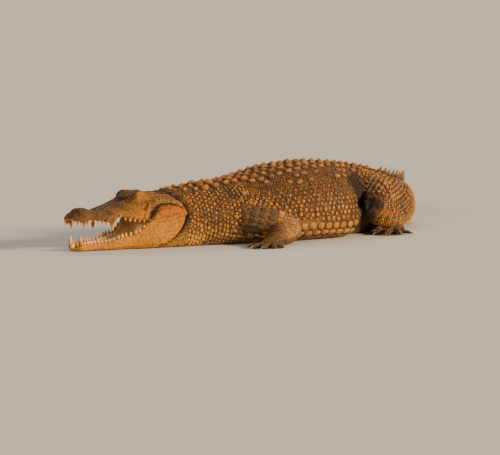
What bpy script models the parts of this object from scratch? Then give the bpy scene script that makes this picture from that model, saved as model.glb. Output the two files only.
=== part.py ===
"""A basking mugger crocodile, life size, lying on its belly with its mouth open and its tail curled round.

Metres, +Z up. The animal is laid out straight in body coordinates: u runs back from the snout tip along
the spine, v runs out to its left, z is the height above the floor. placed() then bends that straight
animal along its spine. The head points along -X and the left flank faces -Y.
"""

import bmesh
import bpy
import numpy as np
from mathutils import Vector

# Driving dimensions
TOTAL_LENGTH = 3.12  # snout tip to tail tip, along the spine
HEAD = 0.43  # snout tip to the rear edge of the skull table
GAP = 0.0005  # clearance left between two touching pieces
EYE = (0.655, 0.134, 0.202, 0.0135)  # place along, out from the middle and above the lip, then radius in metres
JAW_ARC = (0.360, 0.103, 0.106)  # centre u, centre z and radius of the rear edge of the head, from the side

# Where the body is parted, as distances back from the snout tip
NECK_END, CHEST_END, BELLY_END, HIPS_END = 0.68, 0.97, 1.27, 1.56
TAIL_PARTS = (("tail_base", 1.56, 1.92), ("tail_front", 1.92, 2.24), ("tail_middle", 2.24, 2.55),
              ("tail_rear", 2.55, 2.85), ("tail_tip", 2.85, 3.12))
DOUBLE_CREST = (1.58, 2.34, 17)  # start, end and number of the whorls with two rows of tall scutes
SINGLE_CREST = (2.34, 3.10, 18)  # the same for the single row behind them


def curve(*stations):
    """A smooth curve through (position, value) stations that never overshoots them."""
    xs, ys = np.array(stations, float).T
    secant = np.diff(ys) / np.diff(xs)
    slope = np.zeros(len(xs))
    before, after = secant[:-1], secant[1:]
    rising = before * after > 0
    slope[1:-1][rising] = (2 * before * after / np.where(rising, before + after, 1))[rising]

    def at(x):
        x = np.clip(np.asarray(x, float), xs[0], xs[-1])
        i = np.clip(np.searchsorted(xs, x) - 1, 0, len(xs) - 2)
        step = xs[i + 1] - xs[i]
        t = (x - xs[i]) / step
        return (ys[i] * (1 + 2 * t) * (1 - t) ** 2 + ys[i + 1] * t * t * (3 - 2 * t)
                + step * (slope[i] * t * (1 - t) ** 2 - slope[i + 1] * t * t * (1 - t)))

    return at


# The spine's heading, in degrees from +X towards +Y, against u
HEADING = curve((-0.1, -9), (0.5, -9), (0.9, -2), (1.25, 3), (1.55, 12), (1.85, 28), (2.15, 48), (2.5, 66), (3.2, 95))
STEPS = np.linspace(-0.2, TOTAL_LENGTH + 0.1, 1651)
TURN = np.radians(HEADING(STEPS))
SPINE_X = np.cumsum(np.cos(TURN)) * (STEPS[1] - STEPS[0])
SPINE_Y = np.cumsum(np.sin(TURN)) * (STEPS[1] - STEPS[0])

# Body outline against u: half width, height of the back out to the scute tips, height of the widest point
BODY_WIDTH = curve((0.36, 0.116), (0.50, 0.134), (0.60, 0.146), (0.70, 0.172), (0.85, 0.222), (1.02, 0.260),
                   (1.13, 0.264), (1.21, 0.250), (1.27, 0.206), (1.33, 0.180), (1.42, 0.158), (1.56, 0.130), (1.75, 0.108),
                   (2.05, 0.080), (2.45, 0.053), (2.85, 0.031), (3.12, 0.008))
BODY_TOP = curve((0.36, 0.202), (0.48, 0.228), (0.60, 0.240), (0.70, 0.248), (0.83, 0.267), (0.98, 0.292),
                 (1.14, 0.303), (1.30, 0.295), (1.44, 0.276), (1.56, 0.256), (1.72, 0.226), (1.90, 0.196),
                 (2.10, 0.164), (2.45, 0.118), (2.85, 0.066), (3.12, 0.016))
BODY_WAIST = curve((0.36, 0.100), (0.60, 0.092), (0.90, 0.095), (1.14, 0.092), (1.44, 0.105), (1.75, 0.085),
                   (2.45, 0.050), (3.12, 0.007))
BACK_SQUARENESS = curve((0.36, 2.1), (0.70, 2.25), (1.14, 2.35), (1.56, 2.2))
CREST_HEIGHT = curve((1.52, 0.010), (1.74, 0.026), (2.00, 0.042), (2.34, 0.046), (2.74, 0.036), (3.12, 0.010))
CREST_SPREAD = curve((1.52, 0.050), (1.82, 0.040), (2.07, 0.026), (2.34, 0.003), (3.12, 0.001))

# Head outlines against h, the share of the skull's length. The lip line is in metres above the floor, the
# rest in skull lengths: half widths, and heights above the lip line
LIP_LINE = curve((0, 0.1190), (0.03, 0.1160), (0.11, 0.1090), (0.19, 0.1160), (0.27, 0.1130), (0.375, 0.1040),
                 (0.445, 0.1290), (0.50, 0.1200), (0.60, 0.1130), (0.72, 0.1080), (0.80, 0.1080), (1.05, 0.1120),
                 (1.20, 0.1300))
RIM = curve((0, 0.114), (0.7, 0.108), (1.2, 0.108))
LIP_WIDTH = curve((0, 0.030), (0.025, 0.082), (0.07, 0.115), (0.11, 0.122), (0.18, 0.100), (0.25, 0.130),
                  (0.35, 0.168), (0.45, 0.163), (0.56, 0.182), (0.66, 0.215), (0.76, 0.252), (0.86, 0.280),
                  (0.96, 0.292), (1.06, 0.288), (1.20, 0.255))
CHEEK_WIDTH = curve((0, 0.040), (0.025, 0.090), (0.07, 0.121), (0.11, 0.126), (0.18, 0.103), (0.25, 0.132),
                    (0.35, 0.169), (0.45, 0.161), (0.56, 0.181), (0.66, 0.216), (0.76, 0.256), (0.86, 0.286),
                    (0.96, 0.298), (1.06, 0.294), (1.20, 0.262))
CHEEK_HEIGHT = curve((0, 0.024), (0.08, 0.034), (0.18, 0.042), (0.35, 0.046), (0.56, 0.064), (0.70, 0.096),
                     (0.80, 0.122), (0.95, 0.128), (1.08, 0.110), (1.20, 0.095))
BROW_WIDTH = curve((0, 0.022), (0.03, 0.052), (0.10, 0.070), (0.18, 0.062), (0.26, 0.080), (0.35, 0.106),
                   (0.48, 0.104), (0.58, 0.110), (0.65, 0.134), (0.75, 0.134), (1.00, 0.138), (1.20, 0.130))
BROW_HEIGHT = curve((0, 0.030), (0.03, 0.052), (0.07, 0.078), (0.11, 0.096), (0.15, 0.104), (0.19, 0.092),
                    (0.24, 0.080), (0.36, 0.108), (0.48, 0.146), (0.56, 0.176), (0.60, 0.206), (0.645, 0.244),
                    (0.69, 0.256), (0.76, 0.246), (0.84, 0.242), (1.00, 0.240), (1.12, 0.215), (1.20, 0.200))
MID_HEIGHT = curve((0, 0.036), (0.03, 0.062), (0.07, 0.090), (0.11, 0.110), (0.15, 0.116), (0.19, 0.104),
                   (0.24, 0.088), (0.36, 0.118), (0.48, 0.148), (0.58, 0.172), (0.66, 0.194), (0.74, 0.218),
                   (0.82, 0.238), (1.00, 0.240), (1.12, 0.222), (1.20, 0.205))
# The lower jaw: half width in skull lengths, then heights in metres above the floor
JAW_WIDTH = curve((0.05, 0.034), (0.07, 0.076), (0.10, 0.100), (0.15, 0.106), (0.20, 0.106), (0.30, 0.126),
                  (0.40, 0.146), (0.50, 0.164), (0.60, 0.188), (0.70, 0.224), (0.80, 0.262), (0.90, 0.288),
                  (1.00, 0.302), (1.08, 0.298), (1.20, 0.262))
JAW_RIM = curve((0.05, 0.022), (0.09, 0.027), (0.25, 0.030), (0.36, 0.033), (0.45, 0.044), (0.54, 0.052),
                (0.62, 0.062), (0.685, 0.087), (0.735, 0.1065), (1.20, 0.130))
JAW_FLOOR = curve((0.05, 0.016), (0.11, 0.020), (0.18, 0.016), (0.35, 0.017), (0.50, 0.026), (0.62, 0.036),
                  (0.70, 0.058), (0.78, 0.104), (1.20, 0.130))
JAW_EDGE = curve((0.05, 0.008), (0.11, 0.004), (0.40, 0.010), (0.60, 0.018), (1.00, 0.024), (1.20, 0.035))

# Teeth: place along the skull, length and root radius, for one side
UPPER_TEETH = ((0.020, 0.016, 0.0055), (0.052, 0.020, 0.006), (0.083, 0.014, 0.005), (0.114, 0.029, 0.0075),
               (0.150, 0.010, 0.004), (0.192, 0.009, 0.004), (0.218, 0.010, 0.0045), (0.247, 0.013, 0.005),
               (0.282, 0.016, 0.006), (0.317, 0.020, 0.0065), (0.375, 0.030, 0.0085), (0.420, 0.011, 0.005),
               (0.460, 0.010, 0.005), (0.508, 0.012, 0.005), (0.552, 0.014, 0.0055), (0.594, 0.014, 0.0055),
               (0.634, 0.012, 0.005), (0.672, 0.009, 0.004))
LOWER_TEETH = ((0.062, 0.018, 0.0055), (0.086, 0.034, 0.0075), (0.116, 0.010, 0.0045), (0.150, 0.010, 0.004),
               (0.185, 0.010, 0.004), (0.220, 0.012, 0.0045), (0.252, 0.017, 0.0055), (0.286, 0.013, 0.005),
               (0.321, 0.013, 0.005), (0.356, 0.013, 0.005), (0.400, 0.013, 0.005), (0.446, 0.014, 0.0055),
               (0.482, 0.016, 0.006), (0.517, 0.016, 0.006), (0.560, 0.014, 0.0055), (0.604, 0.014, 0.005),
               (0.640, 0.012, 0.005), (0.676, 0.010, 0.0045))

# Limb joints in body coordinates for the left side, and their radii
FORE_LIMB = {"shoulder": ((0.700, 0.120, 0.105), 0.062), "elbow": ((0.850, 0.236, 0.056), 0.052),
             "wrist": ((0.748, 0.288, 0.034), 0.036), "palm": ((0.712, 0.306, 0.020), 0.030)}
HIND_LIMB = {"hip": ((1.470, 0.075, 0.150), 0.100), "knee": ((1.355, 0.190, 0.115), 0.070),
             "ankle": ((1.510, 0.190, 0.042), 0.036), "sole": ((1.455, 0.216, 0.022), 0.034)}
# How far the right side's joints lie from their mirror places, since a resting animal is never quite even
RIGHT_SHIFT = {"elbow": (0.015, -0.006, 0), "wrist": (-0.022, 0.006, 0), "palm": (-0.034, 0.004, 0),
               "knee": (0.022, -0.006, 0), "ankle": (0.055, 0.004, 0), "sole": (0.060, 0.012, 0)}
# Toes: heading in degrees outwards from straight ahead, length and root radius
FORE_TOES = ((-34, 0.058, 0.0120), (-12, 0.075, 0.0125), (10, 0.080, 0.0125), (34, 0.066, 0.0110), (60, 0.050, 0.0100))
HIND_TOES = ((-16, 0.096, 0.0150), (2, 0.118, 0.0155), (20, 0.112, 0.0145), (40, 0.086, 0.0120))

COLOURS = {"hide": (0.30, 0.21, 0.11), "jaw_hide": (0.48, 0.33, 0.15), "tongue": (0.55, 0.36, 0.16), "eye": (0.10, 0.08, 0.03)}


def placed(points):
    """Body coordinates to the model's own: the straight animal laid along its spine."""
    u, v, z = np.asarray(points, float).T
    turn = np.radians(HEADING(u))
    x = np.interp(u, STEPS, SPINE_X) + v * np.sin(turn)
    y = np.interp(u, STEPS, SPINE_Y) - v * np.cos(turn)
    return np.stack([x, y, z], 1)


def spline(points, per_segment):
    """A Catmull-Rom curve through points, with its end points kept."""
    points = np.asarray(points, float)
    ends = np.vstack([2 * points[0] - points[1], points, 2 * points[-1] - points[-2]])
    t = (np.arange(per_segment) / per_segment)[:, None]
    rows = []
    for a, b, c, d in zip(ends, ends[1:], ends[2:], ends[3:]):
        rows.append(0.5 * (2 * b + (c - a) * t + (2 * a - 5 * b + 4 * c - d) * t ** 2 + (3 * b - a - 3 * c + d) * t ** 3))
    return np.vstack([*rows, points[-1:]])


def material(name, roughness=0.6):
    made = bpy.data.materials.get(name) or bpy.data.materials.new(name)
    made.use_nodes = True
    shader = made.node_tree.nodes["Principled BSDF"]
    shader.inputs["Base Color"].default_value = (*COLOURS[name], 1)
    shader.inputs["Roughness"].default_value = roughness
    shader.inputs["Metallic"].default_value = 0.0
    return made


def mesh_object(name, vertices, faces, finish="hide"):
    mesh = bpy.data.meshes.new(name)
    mesh.from_pydata([tuple(map(float, p)) for p in vertices], [], faces)
    mesh.materials.append(material(finish))
    made = bpy.data.objects.new(name, mesh)
    bpy.context.scene.collection.objects.link(made)
    return made


def loft(name, rings, finish="hide"):
    """A closed solid through rings of equal length, capped at both ends."""
    count, around = len(rings), len(rings[0])
    faces = []
    for i in range(count - 1):
        for j in range(around):
            k = (j + 1) % around
            a, b, c, d = i * around + j, i * around + k, (i + 1) * around + k, (i + 1) * around + j
            faces += [(a, b, c), (a, c, d)] if j * 2 < around else [(a, b, d), (b, c, d)]
    faces.append(tuple(range(around))[::-1])
    faces.append(tuple((count - 1) * around + j for j in range(around)))
    vertices = np.vstack(rings)
    made = mesh_object(name, vertices, faces, finish)
    corners = vertices[[f[:3] for f in faces[:-2]]]
    centre = vertices.mean(0)
    outward = np.einsum("ij,ij->i", np.cross(corners[:, 1] - corners[:, 0], corners[:, 2] - corners[:, 0]),
                        corners.mean(1) - centre).sum()
    if outward < 0:
        made.data.flip_normals()
    return made


def combined(target, other, operation):
    """target with other cut from it, added to it, or kept in common with it."""
    modifier = target.modifiers.new("combine", "BOOLEAN")
    modifier.object = other
    modifier.operation = operation
    modifier.solver = "EXACT"
    bpy.context.view_layer.update()
    graph = bpy.context.evaluated_depsgraph_get()
    mesh = bpy.data.meshes.new_from_object(target.evaluated_get(graph))
    target.modifiers.clear()
    target.data = mesh
    return target


def fattened(source, by=GAP):
    """A copy of source grown by the gap, used to cut its neighbours clear of it."""
    made = source.copy()
    made.data = source.data.copy()
    made.name = source.name + "_clearance"
    bpy.context.scene.collection.objects.link(made)
    count = len(made.data.vertices)
    points, normals = np.empty(count * 3), np.empty(count * 3)
    made.data.vertices.foreach_get("co", points)
    made.data.vertex_normals.foreach_get("vector", normals)
    made.data.vertices.foreach_set("co", points + normals * by * 1.3)
    made.data.update()
    return made


def cut(target, *others):
    for other in others:
        cutter = fattened(other)
        combined(target, cutter, "DIFFERENCE")
        bpy.data.objects.remove(cutter)
    return target


def without_crumbs(target):
    """Drops everything but the largest connected body, such as slivers a cut has left at a joint."""
    mesh = bmesh.new()
    mesh.from_mesh(target.data)
    bodies, unseen = [], set(mesh.verts)
    while unseen:
        body, edge = set(), [unseen.pop()]
        while edge:
            vertex = edge.pop()
            body.add(vertex)
            for link in vertex.link_edges:
                other = link.other_vert(vertex)
                if other in unseen:
                    unseen.remove(other)
                    edge.append(other)
        bodies.append(body)
    bodies.sort(key=len)
    bmesh.ops.delete(mesh, geom=[v for body in bodies[:-1] for v in body], context="VERTS")
    mesh.to_mesh(target.data)
    mesh.free()
    return target


def joined(target, others):
    for other in others:
        combined(target, other, "UNION")
        bpy.data.objects.remove(other)
    return target


def body_ring(u, around=22):
    """One cross-section of the neck, chest, belly or hips, flat where it lies on the floor."""
    angle = np.linspace(0, 2 * np.pi, around, endpoint=False) + np.pi / 2
    width, top, waist, square = BODY_WIDTH(u), BODY_TOP(u), BODY_WAIST(u), BACK_SQUARENESS(u)
    c, s = np.cos(angle), np.sin(angle)
    v = width * np.sign(c) * np.abs(c) ** np.where(s > 0, 2 / square, 0.72)
    above = (top - waist) * np.abs(s) ** (2 / square)
    below = -(waist + 0.012) * np.abs(s) ** 0.85
    z = waist + np.where(s > 0, above, below)
    return placed(np.stack([np.full(around, u), v, np.maximum(z, 0)], 1))


def tail_ring(u, tip):
    """One cross-section of the tail. tip runs from 0 in a notch of the crest to 1 at a scute's tip."""
    width, waist = BODY_WIDTH(u), BODY_WAIST(u)
    crest, spread = CREST_HEIGHT(u), CREST_SPREAD(u)
    back = BODY_TOP(u) - 0.2 * crest
    half = [(0.66 * width, 0), (width, 0.72 * waist), (0.92 * width, waist + 0.50 * (back - waist)),
            (min(spread + 0.012, 0.8 * width), back - 0.004),
            (min(spread, 0.7 * width), back + crest * (0.12 + 0.88 * tip))]
    outline = [(0, 0)] + half + [(0, back - 0.002 + 0.1 * crest)] + [(-v, z) for v, z in reversed(half)]
    v, z = np.array(outline).T
    return placed(np.stack([np.full(len(v), u), v, z], 1))


def crest_stations(start, end):
    """Places along the tail between start and end: a notch and a tip for each whorl of scutes."""
    stations = {start: 0.2, end: 0.2}
    for first, last, whorls in (DOUBLE_CREST, SINGLE_CREST):
        pitch = (last - first) / whorls
        for i in range(whorls):
            for share, tip in ((0.12, 0.0), (0.86, 1.0)):
                u = first + (i + share) * pitch
                if start + 0.004 < u < end - 0.004:
                    stations[u] = tip
    return sorted(stations.items())


def upper_head_ring(h, per_segment=2):
    """One cross-section of the skull and upper jaw: over the top from lip to lip, then back under the palate."""
    lip, rim = float(LIP_LINE(h)), float(RIM(h))
    side = [(LIP_WIDTH(h), lip), (CHEEK_WIDTH(h), max(rim + CHEEK_HEIGHT(h) * HEAD, lip + 0.006)),
            (BROW_WIDTH(h), rim + BROW_HEIGHT(h) * HEAD)]
    side = [(w * HEAD, z) for w, z in side]
    over = side + [(0.0, rim + MID_HEIGHT(h) * HEAD)] + [(-v, z) for v, z in reversed(side)]
    top = spline(over, per_segment)
    inner = max(LIP_WIDTH(h) * HEAD - 0.013, 0.3 * LIP_WIDTH(h) * HEAD)
    lift = 0.006 if h < 0.73 else 0.0005
    palate = np.array([(-inner, lip + 0.2 * lift), (-0.55 * inner, lip + lift), (0.55 * inner, lip + lift),
                       (inner, lip + 0.2 * lift)])
    v, z = np.vstack([top, palate]).T
    return placed(np.stack([np.full(len(v), h * HEAD), v, z], 1))


def jaw_rim(h):
    """Height of the lower jaw's rim, which meets the upper jaw behind the corner of the mouth."""
    return float(min(JAW_RIM(h), LIP_LINE(h) - 2 * GAP))


def lower_jaw_ring(h):
    """One cross-section of the lower jaw: a trough between two tooth-bearing rims."""
    width, rim = JAW_WIDTH(h) * HEAD, jaw_rim(h)
    floor = min(float(JAW_FLOOR(h)), rim - 2 * GAP)
    edge = float(JAW_EDGE(h))
    closed = h > 0.74
    inner = max(width - 0.018, 0.45 * width)
    half = [(0.50 * width, 0.0), (0.84 * width, 0.35 * edge + 0.001), (0.97 * width, edge + 0.15 * (rim - edge)),
            (width, edge + 0.55 * (rim - edge)), (0.97 * width, rim), (inner, rim - (GAP if closed else 0.002)),
            (0.62 * inner, floor)]
    outline = [(0, 0.0)] + half + [(0, floor)] + [(-v, z) for v, z in reversed(half)]
    v, z = np.array(outline).T
    return placed(np.stack([np.full(len(v), h * HEAD), v, z], 1))


# Cross-sections of the lower jaw, as shares of the skull's length. The tongue uses some of the same ones
JAW_STATIONS = (0.05, 0.06, 0.075, 0.10, 0.13, *np.arange(0.17, 0.76, 0.05), 0.78, 0.84, 0.92, 1.0, 1.08, 1.2)
TONGUE_PLAN = curve((0.22, 0.30), (0.27, 0.80), (0.37, 1.0), (0.60, 1.0), (0.68, 0.9))


def tongue_ring(h):
    """The tongue lies in the trough of the lower jaw, clear of its floor."""
    inner = 0.62 * max(JAW_WIDTH(h) * HEAD - 0.018, 0.45 * JAW_WIDTH(h) * HEAD)
    width = (inner - 0.004) * TONGUE_PLAN(h)
    floor = float(JAW_FLOOR(h)) + 0.0008
    thick = 0.009 * TONGUE_PLAN(h) + 0.002
    v = np.array([0, 0.6, 1, 0.8, 0.35, 0, -0.35, -0.8, -1, -0.6]) * width
    z = floor + np.array([0, 0, 0.3, 0.8, 1, 0.85, 1, 0.8, 0.3, 0]) * thick
    return placed(np.stack([np.full(len(v), h * HEAD), v, z], 1))


def tooth(root, tip, radius, sides=4):
    """A slightly hooked cone from root to tip, in world coordinates. Its root lies inside the jaw."""
    axis = tip - root
    length = np.linalg.norm(axis)
    axis = axis / length
    across = np.cross(axis, (0.3, 0.2, 0.9))
    across /= np.linalg.norm(across)
    other = np.cross(axis, across)
    rings = []
    for share, thick in ((0, 1.0), (0.6, 0.82), (1, 0.14)) if length > 0.023 else ((0, 1.0), (1, 0.22)):
        centre = root + axis * length * share
        angle = np.arange(sides) * 2 * np.pi / sides
        ring = centre + radius * thick * (np.outer(np.cos(angle), across) + np.outer(np.sin(angle), other))
        rings.append(ring)
    return rings


def tooth_row(name, teeth, rim, width, down):
    """Both sides' teeth as solids standing in the rim, pointing down or up and a little outwards."""
    made = []
    for h, length, radius in teeth:
        for side in (1, -1):
            v = side * (width(h) * HEAD - radius - 0.001)
            z = rim(h)
            sign = -1 if down else 1
            ends = placed([(h * HEAD, v, z - sign * 0.006),
                           (h * HEAD - 0.10 * length, v + side * 0.12 * length, z + sign * length)])
            made.append(loft(name, tooth(ends[0], ends[1], radius)))
    return made


def limb_segment(name, start, end, flatten=1.0, sides=10):
    """A tapered limb with rounded ends between two joints, each a place in body coordinates and a radius."""
    (a, radius_a), (b, radius_b) = start, end
    a, b = placed([a, b])
    axis = b - a
    length = np.linalg.norm(axis)
    axis /= length
    across = np.cross((0, 0, 1), axis)
    across /= np.linalg.norm(across)
    upward = np.cross(axis, across)
    stations = [(-0.80, 0.60), (-0.45, 0.89), (0, 1), (0.5, None), (1, 1), (0.45, 0.89), (0.80, 0.60)]
    rings = []
    for k, (offset, thick) in enumerate(stations):
        if k < 3:
            centre, radius = a + axis * offset * radius_a, radius_a * thick
        elif k == 3:
            centre, radius = (a + b) / 2, (radius_a + radius_b) / 2
        else:
            centre = b + axis * (0 if k == 4 else offset) * radius_b
            radius = radius_b * thick
        angle = np.arange(sides) * 2 * np.pi / sides
        ring = centre + radius * (np.outer(np.cos(angle), across) + flatten * np.outer(np.sin(angle), upward))
        ring[:, 2] = np.maximum(ring[:, 2], 0)
        rings.append(ring)
    return loft(name, rings)


def foot(name, side, wrist, palm, toes):
    """A flat palm or sole resting on the floor, and its toes and claws as solids yet to be joined to it."""
    (wrist_at, wrist_radius), (palm_at, palm_radius) = wrist, palm
    start, middle = placed([wrist_at, palm_at])
    start[2] = middle[2] = 0
    forward = middle - start
    forward /= np.linalg.norm(forward)
    outward = np.cross((0, 0, 1), forward) * side
    rings = []
    for along, half, top in ((-0.030, 0.55, 0.046), (0.000, 0.85, 0.048), (0.035, 1.15, 0.038), (0.070, 1.30, 0.028),
                             (0.085, 1.00, 0.018)):
        centre = start + forward * along
        width = palm_radius * half
        shape = [(-0.8, 0), (0.8, 0), (1, 0.35), (0.75, 0.8), (0.3, 1), (-0.3, 1), (-0.75, 0.8), (-1, 0.35)]
        rings.append(np.array([centre + outward * v * width + np.array([0, 0, z * top]) for v, z in shape]))
    palm_solid = loft(name, rings)
    pieces = []
    base = start + forward * 0.055
    spread = palm_radius * 0.95
    for number, (heading, length, radius) in enumerate(toes):
        angle = np.radians(heading)
        way = forward * np.cos(angle) + outward * np.sin(angle)
        offset = outward * spread * (2 * number / (len(toes) - 1) - 1) * 0.85
        knuckle = base + offset
        sideways = np.cross((0, 0, 1), way)
        rings = []
        for along, thick in ((-0.012, 0.9), (0.5 * length, 1.0), (length, 0.5)):
            centre = knuckle + way * along
            centre[2] = radius * thick * 0.9
            turn = np.arange(6) * np.pi / 3
            ring = centre + radius * thick * (np.outer(np.cos(turn), sideways) + np.outer(np.sin(turn), (0, 0, 1)))
            ring[:, 2] = np.maximum(ring[:, 2], 0)
            rings.append(ring)
        pieces.append(loft(name, rings))
        if number < 3:
            root = knuckle + way * (length - 0.006) + np.array([0, 0, 0.006])
            point = knuckle + way * (length + 0.022) + np.array([0, 0, 0.0035])
            claw = tooth(root, point, 0.0048)
            pieces.append(loft(name, [np.maximum(ring, (-9, -9, 0.0)) for ring in claw]))
    return palm_solid, pieces


def head_region(inflate):
    """Everything in front of the rear edge of the head: the space inside JAW_ARC and ahead of it."""
    centre, middle, radius = JAW_ARC
    radius += inflate
    angles = np.radians(np.linspace(-72, 48, 13))
    arc = [(centre + radius * np.cos(a), middle + radius * np.sin(a)) for a in angles]
    arc = [(u - 0.42 * max(0.13 - z, 0), z) for u, z in arc]
    outline = [(-0.08, -0.05), (arc[0][0], -0.05), *arc, (arc[-1][0] + 0.002, 0.40), (-0.08, 0.40)]
    rings = [placed([(u, v, z) for u, z in outline]) for v in (-0.4, 0.4)]
    return loft("head_region", rings)


def make_head():
    stations = np.concatenate([[0, 0.012, 0.03], np.arange(0.06, 0.23, 0.04), [0.27, 0.34, 0.40, 0.445, 0.50],
                               np.arange(0.58, 0.76, 0.04), [0.78, 0.86, 0.94, 1.02, 1.1, 1.2]])
    skull = loft("head", [upper_head_ring(h) for h in stations])
    teeth = tooth_row("upper_tooth", UPPER_TEETH, LIP_LINE, LIP_WIDTH, True)
    jaw = loft("lower_jaw", [lower_jaw_ring(h) for h in JAW_STATIONS], "jaw_hide")
    lower = tooth_row("lower_tooth", LOWER_TEETH, jaw_rim, JAW_WIDTH, False)
    region = head_region(-GAP / 2)
    for solid in (skull, jaw):
        combined(solid, region, "INTERSECT")
    bpy.data.objects.remove(region)
    joined(skull, teeth)
    joined(jaw, lower)
    tongue = loft("tongue", [tongue_ring(h) for h in JAW_STATIONS[6:16]], "tongue")
    for side, name in ((1, "eye_left"), (-1, "eye_right")):
        along, out, above, radius = EYE
        at = placed([(along * HEAD, side * out * HEAD, RIM(along) + above * HEAD)])[0]
        bpy.ops.mesh.primitive_uv_sphere_add(segments=10, ring_count=6, radius=radius, location=at)
        eye = bpy.context.object
        eye.name = name
        eye.data.materials.append(material("eye", 0.15))
        cut(skull, eye)
    return skull, jaw, tongue


def make_body():
    """Neck, chest, belly and hips, each a closed length of the body."""
    parts = []
    for name, start, end, count in (("neck", 0.36, NECK_END, 7), ("chest", NECK_END, CHEST_END, 7),
                                    ("belly", CHEST_END, BELLY_END, 8), ("hips", BELLY_END, HIPS_END, 8)):
        stations = np.linspace(start + GAP / 2, end - GAP / 2, count)
        parts.append(loft(name, [body_ring(u) for u in stations]))
    region = head_region(GAP / 2)
    combined(parts[0], region, "DIFFERENCE")
    bpy.data.objects.remove(region)
    return parts


def make_tail():
    return [loft(name, [tail_ring(u, tip) for u, tip in crest_stations(start + GAP / 2, end - GAP / 2)])
            for name, start, end in TAIL_PARTS]


def joint_on(side, name):
    """A limb joint on the left (side 1) or the right (side -1): its place in body coordinates and its radius."""
    place, radius = {**FORE_LIMB, **HIND_LIMB}[name]
    if side < 0:
        place = np.add(place, RIGHT_SHIFT.get(name, (0, 0, 0))) * (1, -1, 1)
    return np.array(place), radius


def make_limbs(body, tail):
    for side, word in ((1, "left"), (-1, "right")):
        joints = {name: joint_on(side, name) for name in (*FORE_LIMB, *HIND_LIMB)}
        upper = limb_segment(f"upper_arm_{word}", joints["shoulder"], joints["elbow"])
        fore = limb_segment(f"forearm_{word}", joints["elbow"], joints["wrist"])
        hand, fingers = foot(f"hand_{word}", side, joints["wrist"], joints["palm"], FORE_TOES)
        thigh = limb_segment(f"thigh_{word}", joints["hip"], joints["knee"])
        shank = limb_segment(f"shank_{word}", joints["knee"], joints["ankle"])
        sole, toes = foot(f"foot_{word}", side, joints["ankle"], joints["sole"], HIND_TOES)
        near_front = [p for p in body if p.name in ("neck", "chest", "belly")]
        near_rear = [p for p in body if p.name in ("belly", "hips")] + tail[:1]
        cut(fore, hand, *fingers, upper, *near_front)
        cut(joined(hand, fingers), *near_front)
        cut(upper, *near_front)
        cut(shank, sole, *toes, thigh, *near_rear)
        cut(joined(sole, toes), *near_rear)
        cut(thigh, *near_rear)
        for solid in (upper, fore, hand, thigh, shank, sole):
            without_crumbs(solid)


def settle():
    """Moves everything so that the middle of the model's box is at x = y = 0."""
    bpy.context.view_layer.update()
    corners = [o.matrix_world @ Vector(c) for o in bpy.data.objects for c in o.bound_box]
    low = [min(c[i] for c in corners) for i in range(2)]
    high = [max(c[i] for c in corners) for i in range(2)]
    for o in bpy.data.objects:
        o.location.x -= (low[0] + high[0]) / 2
        o.location.y -= (low[1] + high[1]) / 2
    print("shift", (low[0] + high[0]) / 2, (low[1] + high[1]) / 2)


def main():
    for o in list(bpy.data.objects):
        bpy.data.objects.remove(o)
    make_head()
    body = make_body()
    tail = make_tail()
    make_limbs(body, tail)
    settle()


main()
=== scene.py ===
import math
import bpy
import numpy as np
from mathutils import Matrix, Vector
from mathutils.bvhtree import BVHTree
from mathutils.kdtree import KDTree


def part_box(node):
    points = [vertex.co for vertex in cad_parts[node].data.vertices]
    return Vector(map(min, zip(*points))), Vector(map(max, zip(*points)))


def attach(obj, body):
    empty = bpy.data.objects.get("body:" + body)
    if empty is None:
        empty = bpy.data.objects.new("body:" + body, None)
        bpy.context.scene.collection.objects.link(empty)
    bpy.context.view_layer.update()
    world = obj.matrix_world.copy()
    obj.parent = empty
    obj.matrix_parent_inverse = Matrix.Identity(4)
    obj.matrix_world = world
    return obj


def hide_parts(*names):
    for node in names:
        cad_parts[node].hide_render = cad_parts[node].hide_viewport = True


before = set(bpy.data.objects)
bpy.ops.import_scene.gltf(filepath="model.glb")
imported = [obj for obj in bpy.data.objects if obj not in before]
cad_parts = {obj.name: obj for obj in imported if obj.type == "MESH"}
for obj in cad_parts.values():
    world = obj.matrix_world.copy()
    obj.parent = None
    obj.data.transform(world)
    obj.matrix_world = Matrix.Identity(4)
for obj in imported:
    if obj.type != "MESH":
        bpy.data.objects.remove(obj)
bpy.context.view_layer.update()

# Everything is modelled straight, then bent along the spine at the very end.
# Straight space: u runs back from the snout tip, v to the animal's left, z up. All in metres.


def curve(*stations):
    # a smooth function through (place, value) stations
    xs, ys = np.array(stations, float).T
    secant = np.diff(ys) / np.diff(xs)
    slope = np.zeros(len(xs))
    before, after = secant[:-1], secant[1:]
    rising = before * after > 0
    slope[1:-1][rising] = (2 * before * after / np.where(rising, before + after, 1))[rising]

    def at(x):
        x = np.clip(np.asarray(x, float), xs[0], xs[-1])
        i = np.clip(np.searchsorted(xs, x) - 1, 0, len(xs) - 2)
        step = xs[i + 1] - xs[i]
        t = (x - xs[i]) / step
        return (ys[i] * (1 + 2 * t) * (1 - t) ** 2 + ys[i + 1] * t * t * (3 - 2 * t)
                + step * (slope[i] * t * (1 - t) ** 2 - slope[i + 1] * t * t * (1 - t)))

    return at


def smooth(low, high, x):
    # from 0 at low to 1 at high, eased at both ends
    t = np.clip((np.asarray(x, float) - low) / (high - low), 0, 1)
    return t * t * (3 - 2 * t)


def spline(points, per):
    # a smooth line through the points, with some steps for each stretch
    points = np.asarray(points, float)
    ends = np.vstack([2 * points[0] - points[1], points, 2 * points[-1] - points[-2]])
    t = (np.arange(per) / per)[:, None]
    rows = [0.5 * (2 * b + (c - a) * t + (2 * a - 5 * b + 4 * c - d) * t ** 2
                   + (3 * b - a - 3 * c + d) * t ** 3)
            for a, b, c, d in zip(ends, ends[1:], ends[2:], ends[3:])]
    return np.vstack([*rows, points[-1:]])


# the animal's driving sizes

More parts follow.
